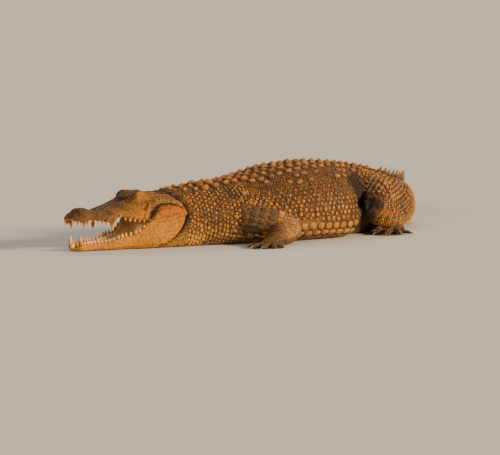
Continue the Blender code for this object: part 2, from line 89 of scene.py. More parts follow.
animal = {
    "length": 3.12,
    "head": 0.43,          # snout tip to the rear of the skull table
    "neckStart": 0.36,
    "heading": curve((-0.1, -9), (0.5, -9), (0.9, -2), (1.25, 3), (1.55, 12), (1.85, 28), (2.15, 48), (2.5, 66),
                     (3.2, 95)),  # degrees from +X towards +Y
    "eye": (0.655, 0.134, 0.202, 0.0135),  # along the head, out, above the lip line, radius
}
body = {
    "width": curve((0.36, 0.116), (0.50, 0.134), (0.60, 0.146), (0.70, 0.172), (0.85, 0.222), (1.02, 0.260),
                   (1.13, 0.264), (1.21, 0.250), (1.27, 0.206), (1.33, 0.180), (1.42, 0.158), (1.56, 0.130),
                   (1.75, 0.108), (2.05, 0.080), (2.45, 0.053), (2.85, 0.031), (3.12, 0.008)),
    "top": curve((0.36, 0.202), (0.48, 0.228), (0.60, 0.240), (0.70, 0.248), (0.83, 0.267), (0.98, 0.292),
                 (1.14, 0.303), (1.30, 0.295), (1.44, 0.276), (1.56, 0.256), (1.72, 0.226), (1.90, 0.196),
                 (2.10, 0.164), (2.45, 0.118), (2.85, 0.066), (3.12, 0.016)),
    "waist": curve((0.36, 0.100), (0.60, 0.092), (0.90, 0.095), (1.14, 0.092), (1.44, 0.105), (1.75, 0.085),
                   (2.45, 0.050), (3.12, 0.007)),
    "square": curve((0.36, 2.1), (0.70, 2.25), (1.14, 2.35), (1.56, 2.2)),
    "crest": curve((1.52, 0.010), (1.74, 0.026), (2.00, 0.042), (2.34, 0.046), (2.74, 0.036), (3.12, 0.010)),
    "spread": curve((1.52, 0.050), (1.82, 0.040), (2.07, 0.026), (2.34, 0.003), (3.12, 0.001)),
    "coat": curve((0.36, 0.006), (0.60, 0.011), (0.95, 0.0130), (1.45, 0.012), (1.60, 0.007), (2.4, 0.005),
                  (3.12, 0.002)),  # how far the skin of the back lies under the scute tips
    "sideCoat": 0.0045,
}
head = {
    "lipLine": curve((0, 0.1190), (0.03, 0.1160), (0.11, 0.1090), (0.19, 0.1160), (0.27, 0.1130), (0.375, 0.1040),
                     (0.445, 0.1290), (0.50, 0.1200), (0.60, 0.1130), (0.72, 0.1080), (0.80, 0.1080),
                     (1.05, 0.1120), (1.20, 0.1300)),
    "rim": curve((0, 0.114), (0.7, 0.108), (1.2, 0.108)),
    "lipWidth": curve((0, 0.030), (0.025, 0.082), (0.07, 0.115), (0.11, 0.122), (0.18, 0.100), (0.25, 0.130),
                      (0.35, 0.168), (0.45, 0.163), (0.56, 0.182), (0.66, 0.215), (0.76, 0.252), (0.86, 0.280),
                      (0.96, 0.292), (1.06, 0.288), (1.20, 0.255)),
    "cheekWidth": curve((0, 0.040), (0.025, 0.090), (0.07, 0.121), (0.11, 0.126), (0.18, 0.103), (0.25, 0.132),
                        (0.35, 0.169), (0.45, 0.161), (0.56, 0.181), (0.66, 0.216), (0.76, 0.256), (0.86, 0.286),
                        (0.96, 0.298), (1.06, 0.294), (1.20, 0.262)),
    "cheekHeight": curve((0, 0.024), (0.08, 0.034), (0.18, 0.042), (0.35, 0.046), (0.56, 0.064), (0.70, 0.096),
                         (0.80, 0.122), (0.95, 0.128), (1.08, 0.110), (1.20, 0.095)),
    "browWidth": curve((0, 0.022), (0.03, 0.052), (0.10, 0.070), (0.18, 0.062), (0.26, 0.080), (0.35, 0.106),
                       (0.48, 0.104), (0.58, 0.110), (0.65, 0.134), (0.75, 0.134), (1.00, 0.138), (1.20, 0.130)),
    "browHeight": curve((0, 0.030), (0.03, 0.052), (0.07, 0.078), (0.11, 0.096), (0.15, 0.104), (0.19, 0.092),
                        (0.24, 0.080), (0.36, 0.108), (0.48, 0.146), (0.56, 0.176), (0.60, 0.206), (0.645, 0.244),
                        (0.69, 0.256), (0.76, 0.246), (0.84, 0.242), (1.00, 0.240), (1.12, 0.215), (1.20, 0.200)),
    "midHeight": curve((0, 0.036), (0.03, 0.062), (0.07, 0.090), (0.11, 0.110), (0.15, 0.116), (0.19, 0.104),
                       (0.24, 0.088), (0.36, 0.118), (0.48, 0.148), (0.58, 0.172), (0.66, 0.194), (0.74, 0.218),
                       (0.82, 0.238), (1.00, 0.240), (1.12, 0.222), (1.20, 0.205)),
    "inset": 0.0018,       # the coat's depth on the face
}
jaw = {
    "width": curve((0.05, 0.034), (0.07, 0.076), (0.10, 0.100), (0.15, 0.106), (0.20, 0.106), (0.30, 0.126),
                   (0.40, 0.146), (0.50, 0.164), (0.60, 0.188), (0.70, 0.224), (0.80, 0.262), (0.90, 0.288),
                   (1.00, 0.302), (1.08, 0.298), (1.20, 0.262)),
    "rim": curve((0.05, 0.022), (0.09, 0.027), (0.25, 0.030), (0.36, 0.033), (0.45, 0.044), (0.54, 0.052),
                 (0.62, 0.062), (0.685, 0.087), (0.735, 0.1065), (1.20, 0.130)),
    "floor": curve((0.05, 0.016), (0.11, 0.020), (0.18, 0.016), (0.35, 0.017), (0.50, 0.026), (0.62, 0.036),
                   (0.70, 0.058), (0.78, 0.104), (1.20, 0.130)),
    "edge": curve((0.05, 0.008), (0.11, 0.004), (0.40, 0.010), (0.60, 0.018), (1.00, 0.024), (1.20, 0.035)),
    "arc": (0.360, 0.103, 0.106),  # the rear edge of the head seen from the side: centre u, centre z, radius
}

steps = np.linspace(-0.2, animal["length"] + 0.1, 1651)
turn = np.radians(animal["heading"](steps))
spineX = np.cumsum(np.cos(turn)) * (steps[1] - steps[0])
spineY = np.cumsum(np.sin(turn)) * (steps[1] - steps[0])


def bent(points):
    u, v, z = np.asarray(points, float).T
    way = np.radians(animal["heading"](u))
    x = np.interp(u, steps, spineX) + v * np.sin(way)
    y = np.interp(u, steps, spineY) - v * np.cos(way)
    return np.stack([x, y, z], 1)


headLength = animal["head"]
along, out, above, eyeRadius = animal["eye"]
eyePlace = np.array([along * headLength, out * headLength, head["rim"](along) + above * headLength])
eyeBox = np.array(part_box("eye_left"))
frameShift = eyeBox.mean(0) - bent([eyePlace])[0]


def laid(points):
    return bent(points) + frameShift


# small helpers for meshes

def pick(piece):
    bpy.ops.object.select_all(action="DESELECT")
    piece.select_set(True)
    bpy.context.view_layer.objects.active = piece


def placed(name, data):
    # a new object of the scene
    made = bpy.data.objects.new(name, data)
    bpy.context.scene.collection.objects.link(made)
    return made


def meshPiece(name, points, faces):
    mesh = bpy.data.meshes.new(name)
    mesh.from_pydata(np.asarray(points, float).tolist(), [], faces)
    return placed(name, mesh)


def coords(piece):
    flat = np.empty(len(piece.data.vertices) * 3)
    piece.data.vertices.foreach_get("co", flat)
    return flat.reshape(-1, 3)


def setCoords(piece, points):
    piece.data.vertices.foreach_set("co", np.asarray(points, float).ravel())
    piece.data.update()


def normalsOf(piece):
    flat = np.empty(len(piece.data.vertices) * 3)
    piece.data.vertex_normals.foreach_get("vector", flat)
    return flat.reshape(-1, 3)


def facedOut(piece):
    # every face turned outwards
    pick(piece)
    bpy.ops.object.mode_set(mode="EDIT")
    bpy.ops.mesh.select_all(action="SELECT")
    bpy.ops.mesh.normals_make_consistent(inside=False)
    bpy.ops.object.mode_set(mode="OBJECT")
    return piece


def loft(name, rings):
    # a closed piece through rings of places
    count, around = len(rings), len(rings[0])
    i, j = np.meshgrid(np.arange(count - 1), np.arange(around), indexing="ij")
    k = (j + 1) % around
    quads = np.stack([i * around + j, i * around + k, (i + 1) * around + k, (i + 1) * around + j], -1)
    faces = quads.reshape(-1, 4).tolist()
    faces += [list(range(around))[::-1], list(range((count - 1) * around, count * around))]
    return facedOut(meshPiece(name, np.vstack(rings), faces))


def applied(piece, kind, **settings):
    # a modifier, put on and applied
    pick(piece)
    modifier = piece.modifiers.new(kind.lower(), kind)
    for name, value in settings.items():
        setattr(modifier, name, value)
    bpy.ops.object.modifier_apply(modifier=modifier.name)
    return piece


def joinedUp(pieces):
    pick(pieces[0])
    for piece in pieces:
        piece.select_set(True)
    bpy.ops.object.join()
    return bpy.context.object


def treeOf(places):
    # a search tree over places
    tree = KDTree(len(places))
    for i, place in enumerate(np.asarray(places).tolist()):
        tree.insert(place, i)
    tree.balance()
    return tree


def nearest(tree, place, count):
    return [index for _, index, _ in tree.find_n(place, count)]


def within(tree, place, far):
    return [index for _, index, _ in tree.find_range(place, far)]


# flesh: the forms that the skin is drawn over

def bodySection(u, around=72):
    a = np.arange(around) * 2 * np.pi / around
    s, c = np.sin(a), np.cos(a)
    width = float(body["width"](u)) - body["sideCoat"]
    waist, square = float(body["waist"](u)), float(body["square"](u))
    top = float(body["top"](u) - body["coat"](u) - 0.2 * body["crest"](u) * smooth(1.5, 1.7, u))
    up = c > 0
    across = np.where(up, np.abs(s) ** (2 / square), np.abs(s) ** 0.72)
    rise = np.where(up, (top - waist) * np.abs(c) ** (2 / square), -(waist + 0.012) * np.abs(c) ** 0.85)
    tailAcross = np.where(up, np.abs(s) ** 1.05, np.abs(s) ** 0.62)
    tailRise = np.where(up, (top - waist) * np.abs(c) ** 0.95, -(waist + 0.006) * np.abs(c) ** 0.85)
    blend = smooth(1.42, 1.80, u)
    v = width * np.sign(s) * (across * (1 - blend) + tailAcross * blend)
    z = waist + rise * (1 - blend) + tailRise * blend
    return np.stack([np.full(around, u), v, np.maximum(z, 0.001)], 1)


def behindHead(points):
    # how far a place is behind the rear edge of the head, seen from the side
    u, _, z = points.T
    centre, middle, radius = jaw["arc"]
    u = u + 0.42 * np.maximum(0.13 - z, 0)
    return np.where(u > centre, np.hypot(u - centre, z - middle) - radius, -1.0)


def bodyHalf(u, z):
    # half width of the body at a height
    width, top, waist, square = (body[name](u) for name in ("width", "top", "waist", "square"))
    over = np.clip((z - waist) / (top - waist), 0, 1)
    under = np.clip((waist - z) / (waist + 0.012), 0, 1)
    return width * np.where(z > waist, (1 - over ** square) ** (1 / square), (1 - under ** (1 / 0.85)) ** 0.72)


def tucked(points):
    # parts of the head behind its rear edge go inside the neck
    u, v, z = points.T
    gone = smooth(-0.005, 0.005, behindHead(points))
    low = np.minimum(z, body["top"](u) - body["coat"](u) - 0.006)
    z = z + gone * (low - z)
    room = 0.92 * bodyHalf(u, z) - 0.006
    slim = np.sign(v) * np.minimum(np.abs(v), np.maximum(room, 0.01))
    return np.stack([u, v + gone * (slim - v), z], 1)


def headSection(h, per=7):
    lip, rim, inset = float(head["lipLine"](h)), float(head["rim"](h)), head["inset"]
    tall, long = headLength, h * headLength
    rear = smooth(0.72, 0.80, h)
    lip -= 0.004 * rear
    lipWidth = float(head["lipWidth"](h)) * tall - inset
    cheekWidth = float(head["cheekWidth"](h)) * tall - inset
    cheek = max(rim + float(head["cheekHeight"](h)) * tall, lip + 0.008)
    brow = rim + float(head["browHeight"](h)) * tall - inset
    middle = rim + float(head["midHeight"](h)) * tall - inset
    browWidth = float(head["browWidth"](h)) * tall - inset * 0.5
    inner = max(lipWidth - 0.012, 0.35 * lipWidth)
    side = [(lipWidth - 0.002, lip + inset), (lipWidth, lip + inset + 0.004), (cheekWidth, cheek), (browWidth, brow)]
    over = spline(side + [(0, middle)] + [(-v, z) for v, z in side[::-1]], per)
    vault = min(0.011, 0.3 * (brow - lip)) * (1 - rear)
    gum, arch = lip + inset - 0.001, lip + 0.3 * vault
    under = spline([(-lipWidth + 0.005, gum), (-inner, arch), (-0.5 * inner, lip + vault), (0, lip + 1.15 * vault),
                    (0.5 * inner, lip + vault), (inner, arch), (lipWidth - 0.005, gum)], 4)
    v, z = np.vstack([over, under]).T
    return tucked(np.stack([np.full(len(v), long), v, z], 1))


def jawSection(h):
    tall, inset = headLength, head["inset"]
    width = float(jaw["width"](h)) * tall - inset
    rear = smooth(0.72, 0.80, h)
    rim = float(min(jaw["rim"](h), head["lipLine"](h) - 0.001)) - inset + 0.006 * rear
    edge, floor = float(jaw["edge"](h)), min(float(jaw["floor"](h)), rim - 0.001) - 0.002
    inner = max(width - 0.016, 0.45 * width)
    side = [(0, 0.001), (0.50 * width, 0.001), (0.84 * width, 0.35 * edge + 0.002),
            (0.97 * width, edge + 0.15 * (rim - edge)), (width, edge + 0.55 * (rim - edge)),
            (0.985 * width, rim - 0.002), (0.95 * width, rim), (inner, rim - 0.003), (0.62 * inner, floor),
            (0, floor - 0.001)]
    half = spline(side, 5)
    v, z = np.vstack([half, (half * (-1, 1))[::-1][1:-1]]).T
    return tucked(np.stack([np.full(len(v), h * tall), v, np.maximum(z, 0.001)], 1))


def tube(name, stations, sides=20, per=5):
    # stations: u, v, z, radius sideways, radius up
    path = spline(stations, per)
    place, radii = path[:, :3], path[:, 3:]
    way = np.gradient(place, axis=0)
    way /= np.linalg.norm(way, axis=1)[:, None]
    a = np.arange(sides) * 2 * np.pi / sides
    rings = []
    along = [(i, 0, 1) for i in range(len(place))]  # which place, how far beyond it, and how thick
    for i, beyond, thick in [(0, -0.85, 0.5), (0, -0.6, 0.8), *along, (-1, 0.6, 0.8), (-1, 0.85, 0.5)]:
        across = np.cross((0, 0, 1), way[i])
        across /= np.linalg.norm(across)
        up = np.cross(way[i], across)
        side, tall = radii[i] * thick
        centre = place[i] + way[i] * beyond * min(radii[i])
        ring = centre + side * np.outer(np.cos(a), across) + tall * np.outer(np.sin(a), up)
        ring[:, 2] = np.maximum(ring[:, 2], 0.001)
        rings.append(ring)
    return loft(name, rings)


limbs = {
    "fore": {
        "shoulder": (0.700, 0.112, 0.112, 0.058, 0.066), "arm": (0.775, 0.182, 0.088, 0.054, 0.058),
        "elbow": (0.850, 0.230, 0.056, 0.050, 0.052),
        "forearm": (0.804, 0.259, 0.046, 0.045, 0.045), "wrist": (0.748, 0.288, 0.031, 0.032, 0.029),
        "palm": (0.712, 0.306, 0.018, 0.036, 0.017),
        "toes": ((-34, 0.058, 0.0112), (-12, 0.075, 0.0118), (10, 0.080, 0.0118), (34, 0.066, 0.0104),
                 (60, 0.050, 0.0095)),  # heading in degrees, length, radius
        "knuckles": 0.0243, "webbed": False,
    },
    "hind": {
        "hip": (1.470, 0.070, 0.150, 0.088, 0.094), "thigh": (1.415, 0.140, 0.135, 0.076, 0.086),
        "knee": (1.358, 0.188, 0.112, 0.058, 0.064),
        "shin": (1.430, 0.194, 0.076, 0.046, 0.050), "ankle": (1.506, 0.190, 0.042, 0.034, 0.034),
        "palm": (1.455, 0.216, 0.018, 0.038, 0.017),
        "toes": ((-16, 0.096, 0.0135), (2, 0.118, 0.0140), (20, 0.112, 0.0132), (40, 0.086, 0.0110)),
        "knuckles": 0.02754, "webbed": True,
    },
    "rightShift": {"elbow": (0.015, -0.006, 0), "wrist": (-0.022, 0.006, 0), "palm": (-0.034, 0.004, 0),
                   "knee": (0.022, -0.006, 0), "ankle": (0.055, 0.004, 0), "hindPalm": (0.060, 0.012, 0)},
}
paw = {
    "knucklesAhead": 0.055, "clawed": 3,
    "palm": ((-0.012, 0.022, 0.70, 0.022), (0.020, 0.020, 0.88, 0.019), (0.050, 0.016, 1.05, 0.015),
             (0.068, 0.012, 0.95, 0.010)),  # ahead, up, share of the width, thickness
    "toe": ((-0.25, 0.9, 1.15), (0.12, 1.08, 1.25), (0.36, 0.86, 1.0), (0.56, 1.0, 1.05), (0.78, 0.78, 0.85),
            (0.94, 0.62, 0.70)),  # share of the length, thickness, height
    "toeUp": 0.82, "toeFlat": 0.86,
    "web": ((-0.1, 0.012), (0.2, 0.017), (0.42, 0.020)), "webUp": 0.007, "webThick": 0.0045,
}


def limbJoint(limb, name, side):
    # a joint's place and thickness, on the left (1) or the right (-1)
    place = np.array(limbs[limb][name], float)
    if side < 0:
        shifts = limbs["rightShift"]
        key = "hindPalm" if limb == "hind" and name == "palm" else name
        near = {"arm": ("elbow", 0.5), "forearm": ("wrist", 0.5), "thigh": ("knee", 0.5), "shin": ("ankle", 0.5)}
        source, share = near.get(name, (key, 1))
        place[:3] += np.multiply(shifts.get(source, (0, 0, 0)), share)
        place[1] *= -1
    return place


def toeLines(limb, side):
    # the foot's start, its two directions, and each toe's knuckle, direction, length, radius and claw
    wrist, palm = limbJoint(limb, "wrist" if limb == "fore" else "ankle", side), limbJoint(limb, "palm", side)
    start = np.array([wrist[0], wrist[1], 0])
    forward = np.array([palm[0], palm[1], 0]) - start
    forward /= np.linalg.norm(forward)
    outward = np.array([-forward[1], forward[0], 0]) * side * -1
    spread, toes = limbs[limb]["knuckles"], limbs[limb]["toes"]
    lines = []
    for number, (heading, length, radius) in enumerate(toes):
        angle = math.radians(heading)
        way = forward * math.cos(angle) + outward * math.sin(angle)
        knuckle = start + forward * paw["knucklesAhead"] + outward * spread * (2 * number / (len(toes) - 1) - 1)
        lines.append((knuckle, way, length, radius, number < paw["clawed"]))
    return start, forward, outward, lines


def limbFlesh(side):
    made = []
    for limb, chain in (("fore", (("shoulder", "arm", "elbow"), ("elbow", "forearm", "wrist"))),
                        ("hind", (("hip", "thigh", "knee"), ("knee", "shin", "ankle")))):
        for names in chain:
            made.append(tube(limb, [limbJoint(limb, name, side) for name in names]))
        start, forward, _, lines = toeLines(limb, side)
        wide = limbs[limb]["palm"][3]
        made.append(tube(limb, [(*(start + forward * ahead + (0, 0, up)), share * wide, thick)
                                for ahead, up, share, thick in paw["palm"]]))
        for knuckle, way, length, radius, _ in lines:
            points = []
            for share, thick, high in paw["toe"]:
                place = knuckle + way * length * share
                points.append((place[0], place[1], radius * high * paw["toeUp"], radius * thick,
                               radius * thick * paw["toeFlat"]))
            made.append(tube("toe", points, sides=10, per=3))
        if limbs[limb]["webbed"]:  # the hind toes are joined for part of their length
            for (a, wayA, longA, _, _), (b, wayB, longB, _, _) in zip(lines, lines[1:]):
                middle = (a + b) / 2 + (0, 0, paw["webUp"])
                way = (wayA + wayB) / np.linalg.norm(wayA + wayB)
                made.append(tube("web", [(*(middle + way * t * 0.5 * (longA + longB)), wide, paw["webThick"])
                                         for t, wide in paw["web"]], sides=10, per=3))
    return made


# the skin: one mesh over all the flesh, then worked into folds, creases and lids

skinForm = {
    "voxel": 0.0029, "rounds": 4, "junctionRounds": 26, "triangles": 188000,
    "junctions": (("fore", "shoulder", 0.085), ("fore", "arm", 0.05), ("hind", "hip", 0.14), ("hind", "thigh", 0.10)),
}

spans = np.concatenate([np.linspace(animal["neckStart"] - 0.02, 1.7, 150), np.linspace(1.71, 3.118, 110)])
flesh = [loft("trunk", [bodySection(u) for u in spans])]
headSpans = np.concatenate([np.linspace(0.004, 0.06, 12), np.linspace(0.07, 1.18, 130)])
flesh.append(loft("upperHead", [headSection(h) for h in headSpans]))
jawSpans = np.concatenate([np.linspace(0.054, 0.10, 12), np.linspace(0.11, 1.18, 130)])
flesh.append(loft("lowerHead", [jawSection(h) for h in jawSpans]))
for side in (1, -1):
    flesh += limbFlesh(side)
skin = joinedUp(flesh)
skin.name = "skin"
applied(skin, "REMESH", mode="VOXEL", voxel_size=skinForm["voxel"], adaptivity=0)
applied(skin, "SMOOTH", factor=0.5, iterations=skinForm["rounds"])


def grouped(piece, name, weights):
    # weights in steps, as a vertex group
    group = piece.vertex_groups.new(name=name)
    levels = np.round(np.clip(weights, 0, 1) * 12).astype(int)
    for level in range(1, 13):
        members = np.flatnonzero(levels == level)
        if len(members):
            group.add(members.tolist(), level / 12, "REPLACE")
    return group.name


def junctions(points):
    # near where a limb leaves the body
    near = np.zeros(len(points))
    for limb, name, reach in skinForm["junctions"]:
        for side in (1, -1):
            centre = limbJoint(limb, name, side)[:3]
            near = np.maximum(near, 1 - smooth(0.6, 1.25, np.linalg.norm(points - centre, axis=1) / reach))
    return near


soft = grouped(skin, "soft", junctions(coords(skin)))
applied(skin, "SMOOTH", factor=0.5, iterations=skinForm["junctionRounds"], vertex_group=soft)
print("one skin", len(skin.data.polygons), "faces")

random = np.random.default_rng(7)


def lumps(points, size, seed, waves=10):
    # soft bumps of about the given size, from -1 to 1
    source = np.random.default_rng(seed)
    ways = source.normal(size=(waves, 3))
    ways /= np.linalg.norm(ways, axis=1)[:, None]
    scale = 2 * np.pi / size * source.uniform(0.75, 1.3, (waves, 1))
    return np.sin(points @ (ways * scale).T + source.uniform(0, 2 * np.pi, waves)).sum(1) * (1.6 / waves)


def stroke(a, b, line):
    # height of a ridge (or a groove) drawn through places of (a, b, height, half width)
    best = np.full(len(a), 1e9)
    height = np.zeros(len(a))
    for (pa, pb, ph, pw), (qa, qb, qh, qw) in zip(line, line[1:]):
        long = (qa - pa) ** 2 + (qb - pb) ** 2
        t = np.clip(((a - pa) * (qa - pa) + (b - pb) * (qb - pb)) / long, 0, 1)
        away = np.hypot(a - pa - t * (qa - pa), b - pb - t * (qb - pb))
        here = away < best
        value = (ph + t * (qh - ph)) * np.exp(-(away / (pw + t * (qw - pw))) ** 2)
        height = np.where(here, value, height)
        best = np.where(here, away, best)
    return height


muzzle = {
    "side": [  # seen from the side: u, z, height, half width
        [(0.309, 0.112, -0.0070, 0.006), (0.317, 0.134, -0.0140, 0.009), (0.332, 0.152, -0.0140, 0.010),
         (0.355, 0.160, -0.0090, 0.009), (0.390, 0.158, -0.0060, 0.008), (0.430, 0.147, -0.0030, 0.006)],  # hollow
        [(0.292, 0.122, 0.0030, 0.006), (0.297, 0.150, 0.0045, 0.006), (0.313, 0.174, 0.0055, 0.006),
         (0.345, 0.184, 0.0060, 0.006), (0.392, 0.181, 0.0055, 0.006), (0.440, 0.167, 0.0040, 0.007)],  # cheek bar
        [(0.318, 0.158, -0.0020, 0.0022), (0.347, 0.171, -0.0050, 0.0024), (0.389, 0.170, -0.0055, 0.0024),
         (0.430, 0.158, -0.0040, 0.0026), (0.452, 0.149, -0.0020, 0.0026)],  # crease under it
        [(0.296, 0.099, 0.0015, 0.005), (0.340, 0.105, 0.0030, 0.006), (0.420, 0.118, 0.0030, 0.006),
         (0.452, 0.131, 0.0030, 0.006)],  # upper border of the jaw bone
        [(0.285, 0.1075, -0.0020, 0.0024), (0.315, 0.1085, -0.0035, 0.0026), (0.350, 0.114, -0.0030, 0.0024),
         (0.425, 0.1265, -0.0018, 0.0022)],
        [(0.450, 0.134, 0.0005, 0.002), (0.400, 0.1305, 0.0014, 0.002), (0.348, 0.1215, 0.0012, 0.0022)],
        [(0.450, 0.136, 0.0005, 0.002), (0.400, 0.1365, 0.0014, 0.002), (0.352, 0.1300, 0.0012, 0.0022)],
        [(0.448, 0.1325, -0.0004, 0.0015), (0.400, 0.1335, -0.0014, 0.0015), (0.352, 0.1258, -0.0014, 0.0018)],
        [(0.448, 0.130, -0.0004, 0.0015), (0.400, 0.1270, -0.0014, 0.0015), (0.352, 0.1170, -0.0012, 0.0018)],
        [(0.440, 0.120, 0.0030, 0.012), (0.456, 0.136, 0.0035, 0.010), (0.450, 0.150, 0.0020, 0.010)],  # jaw joint
        [(0.420, 0.075, 0.0010, 0.006), (0.436, 0.095, 0.0018, 0.006), (0.446, 0.112, 0.0010, 0.005)],
        [(0.400, 0.060, -0.0012, 0.003), (0.424, 0.090, -0.0016, 0.003), (0.436, 0.112, -0.0010, 0.003)],
        [(0.308, 0.2020, -0.0010, 0.0018), (0.326, 0.2035, -0.0045, 0.0020), (0.348, 0.2040, -0.0020, 0.0018)],  # ear
        [(0.306, 0.2070, 0.0010, 0.0025), (0.328, 0.2085, 0.0022, 0.0025), (0.352, 0.2090, 0.0012, 0.0025)],
        [(0.3140, 0.1795, -0.0040, 0.0030), (0.3150, 0.1800, -0.0040, 0.0030)],
        [(0.236, 0.184, 0.0016, 0.005), (0.256, 0.199, 0.0030, 0.0045), (0.272, 0.210, 0.0038, 0.0045),
         (0.290, 0.213, 0.0042, 0.0045), (0.312, 0.211, 0.0020, 0.005)],  # brow
        [(0.262, 0.190, -0.0022, 0.004), (0.245, 0.181, -0.0012, 0.005), (0.225, 0.172, -0.0006, 0.005)],
        [(0.300, 0.187, -0.0015, 0.004), (0.316, 0.185, -0.0012, 0.004)],
        [(0.190, 0.0075, -0.0016, 0.0022), (0.300, 0.0120, -0.0022, 0.0022), (0.385, 0.0170, -0.0012, 0.0022)],
        [(0.190, 0.0125, 0.0008, 0.0025), (0.300, 0.0175, 0.0012, 0.0025), (0.375, 0.0230, 0.0006, 0.0025)],
        [(0.240, 0.128, 0.0015, 0.007), (0.270, 0.136, 0.0022, 0.008), (0.300, 0.150, 0.0010, 0.008)],
    ],
    "top": [  # seen from above: u, distance from the middle, height, half width
        [(0.0290, 0.0080, -0.0025, 0.0020), (0.0360, 0.0125, -0.0048, 0.0024), (0.0440, 0.0110, -0.0034, 0.0020)],
        [(0.0250, 0.0090, 0.0014, 0.0030), (0.0350, 0.0180, 0.0022, 0.0030), (0.0500, 0.0130, 0.0018, 0.0030)],
        [(0.0250, 0.0000, 0.0012, 0.0030), (0.0500, 0.0000, 0.0012, 0.0030)],
        [(0.1500, 0.0260, 0.0005, 0.006), (0.2000, 0.0300, 0.0022, 0.007), (0.2450, 0.0400, 0.0026, 0.006)],
        [(0.0900, 0.0000, 0.0010, 0.006), (0.1700, 0.0000, 0.0016, 0.007), (0.2200, 0.0000, 0.0004, 0.008)],
        [(0.2350, 0.0000, -0.0020, 0.014), (0.2650, 0.0000, -0.0060, 0.018), (0.2950, 0.0000, -0.0070, 0.018),
         (0.3200, 0.0000, -0.0020, 0.014)],
        [(0.3430, 0.0230, -0.0030, 0.0075), (0.3600, 0.0235, -0.0032, 0.0080)],  # openings of the skull table
        [(0.3240, 0.0440, 0.0016, 0.004), (0.3700, 0.0480, 0.0020, 0.004), (0.4220, 0.0520, 0.0014, 0.005)],
        [(0.4290, 0.0000, -0.0030, 0.004), (0.4320, 0.0300, -0.0030, 0.004), (0.4300, 0.0600, -0.0025, 0.004)],
    ],
    "upperTeeth": ((0.020, 0.016, 0.0055), (0.052, 0.020, 0.006), (0.083, 0.014, 0.005), (0.114, 0.029, 0.0075),
                   (0.150, 0.010, 0.004), (0.192, 0.009, 0.004), (0.218, 0.010, 0.0045), (0.247, 0.013, 0.005),
                   (0.282, 0.016, 0.006), (0.317, 0.020, 0.0065), (0.375, 0.030, 0.0085), (0.420, 0.011, 0.005),
                   (0.460, 0.008, 0.005), (0.508, 0.009, 0.005), (0.552, 0.011, 0.0055), (0.594, 0.011, 0.0055),
                   (0.634, 0.009, 0.005), (0.672, 0.007, 0.004)),
    "lowerTeeth": ((0.062, 0.018, 0.0055), (0.086, 0.034, 0.0075), (0.116, 0.010, 0.0045), (0.150, 0.010, 0.004),
                   (0.185, 0.010, 0.004), (0.220, 0.012, 0.0045), (0.252, 0.017, 0.0055), (0.286, 0.013, 0.005),
                   (0.321, 0.013, 0.005), (0.356, 0.013, 0.005), (0.400, 0.013, 0.005), (0.446, 0.014, 0.0055),
                   (0.482, 0.016, 0.006), (0.517, 0.016, 0.006), (0.560, 0.014, 0.0055), (0.604, 0.014, 0.005),
                   (0.640, 0.012, 0.005), (0.676, 0.010, 0.0045)),
}


relief = {  # heights of the skin's own forms, and how far apart its folds are
    "plate": 0.0024, "knob": 0.0009, "knobShare": 0.055,
    "bone": (0.0011, 0.0008), "jaw": 0.0005,
    "edge": ((-0.0085, 0.001, 0.0050), (0.0020, -0.010, 0.006), (0.0060, 0.022, 0.014)),
    "neck": 0.0007, "neckPitch": 0.034, "sag": (0.0030, 0.0012), "low": 0.0022, "lowPitch": 0.0385,
    "groinLeft": 0.026, "groinRight": 0.007, "haunch": 0.0022, "haunchPitch": 0.019,
    "limb": (0.0012, 0.0007), "limbPitch": 0.013, "whorl": 0.0016, "whorlPitch": 0.0447,
    "throat": 0.0010, "throatPitch": 0.010,
}


def wave(along, pitch, wander=0.0):
    return np.sin(2 * np.pi * along / pitch + wander)


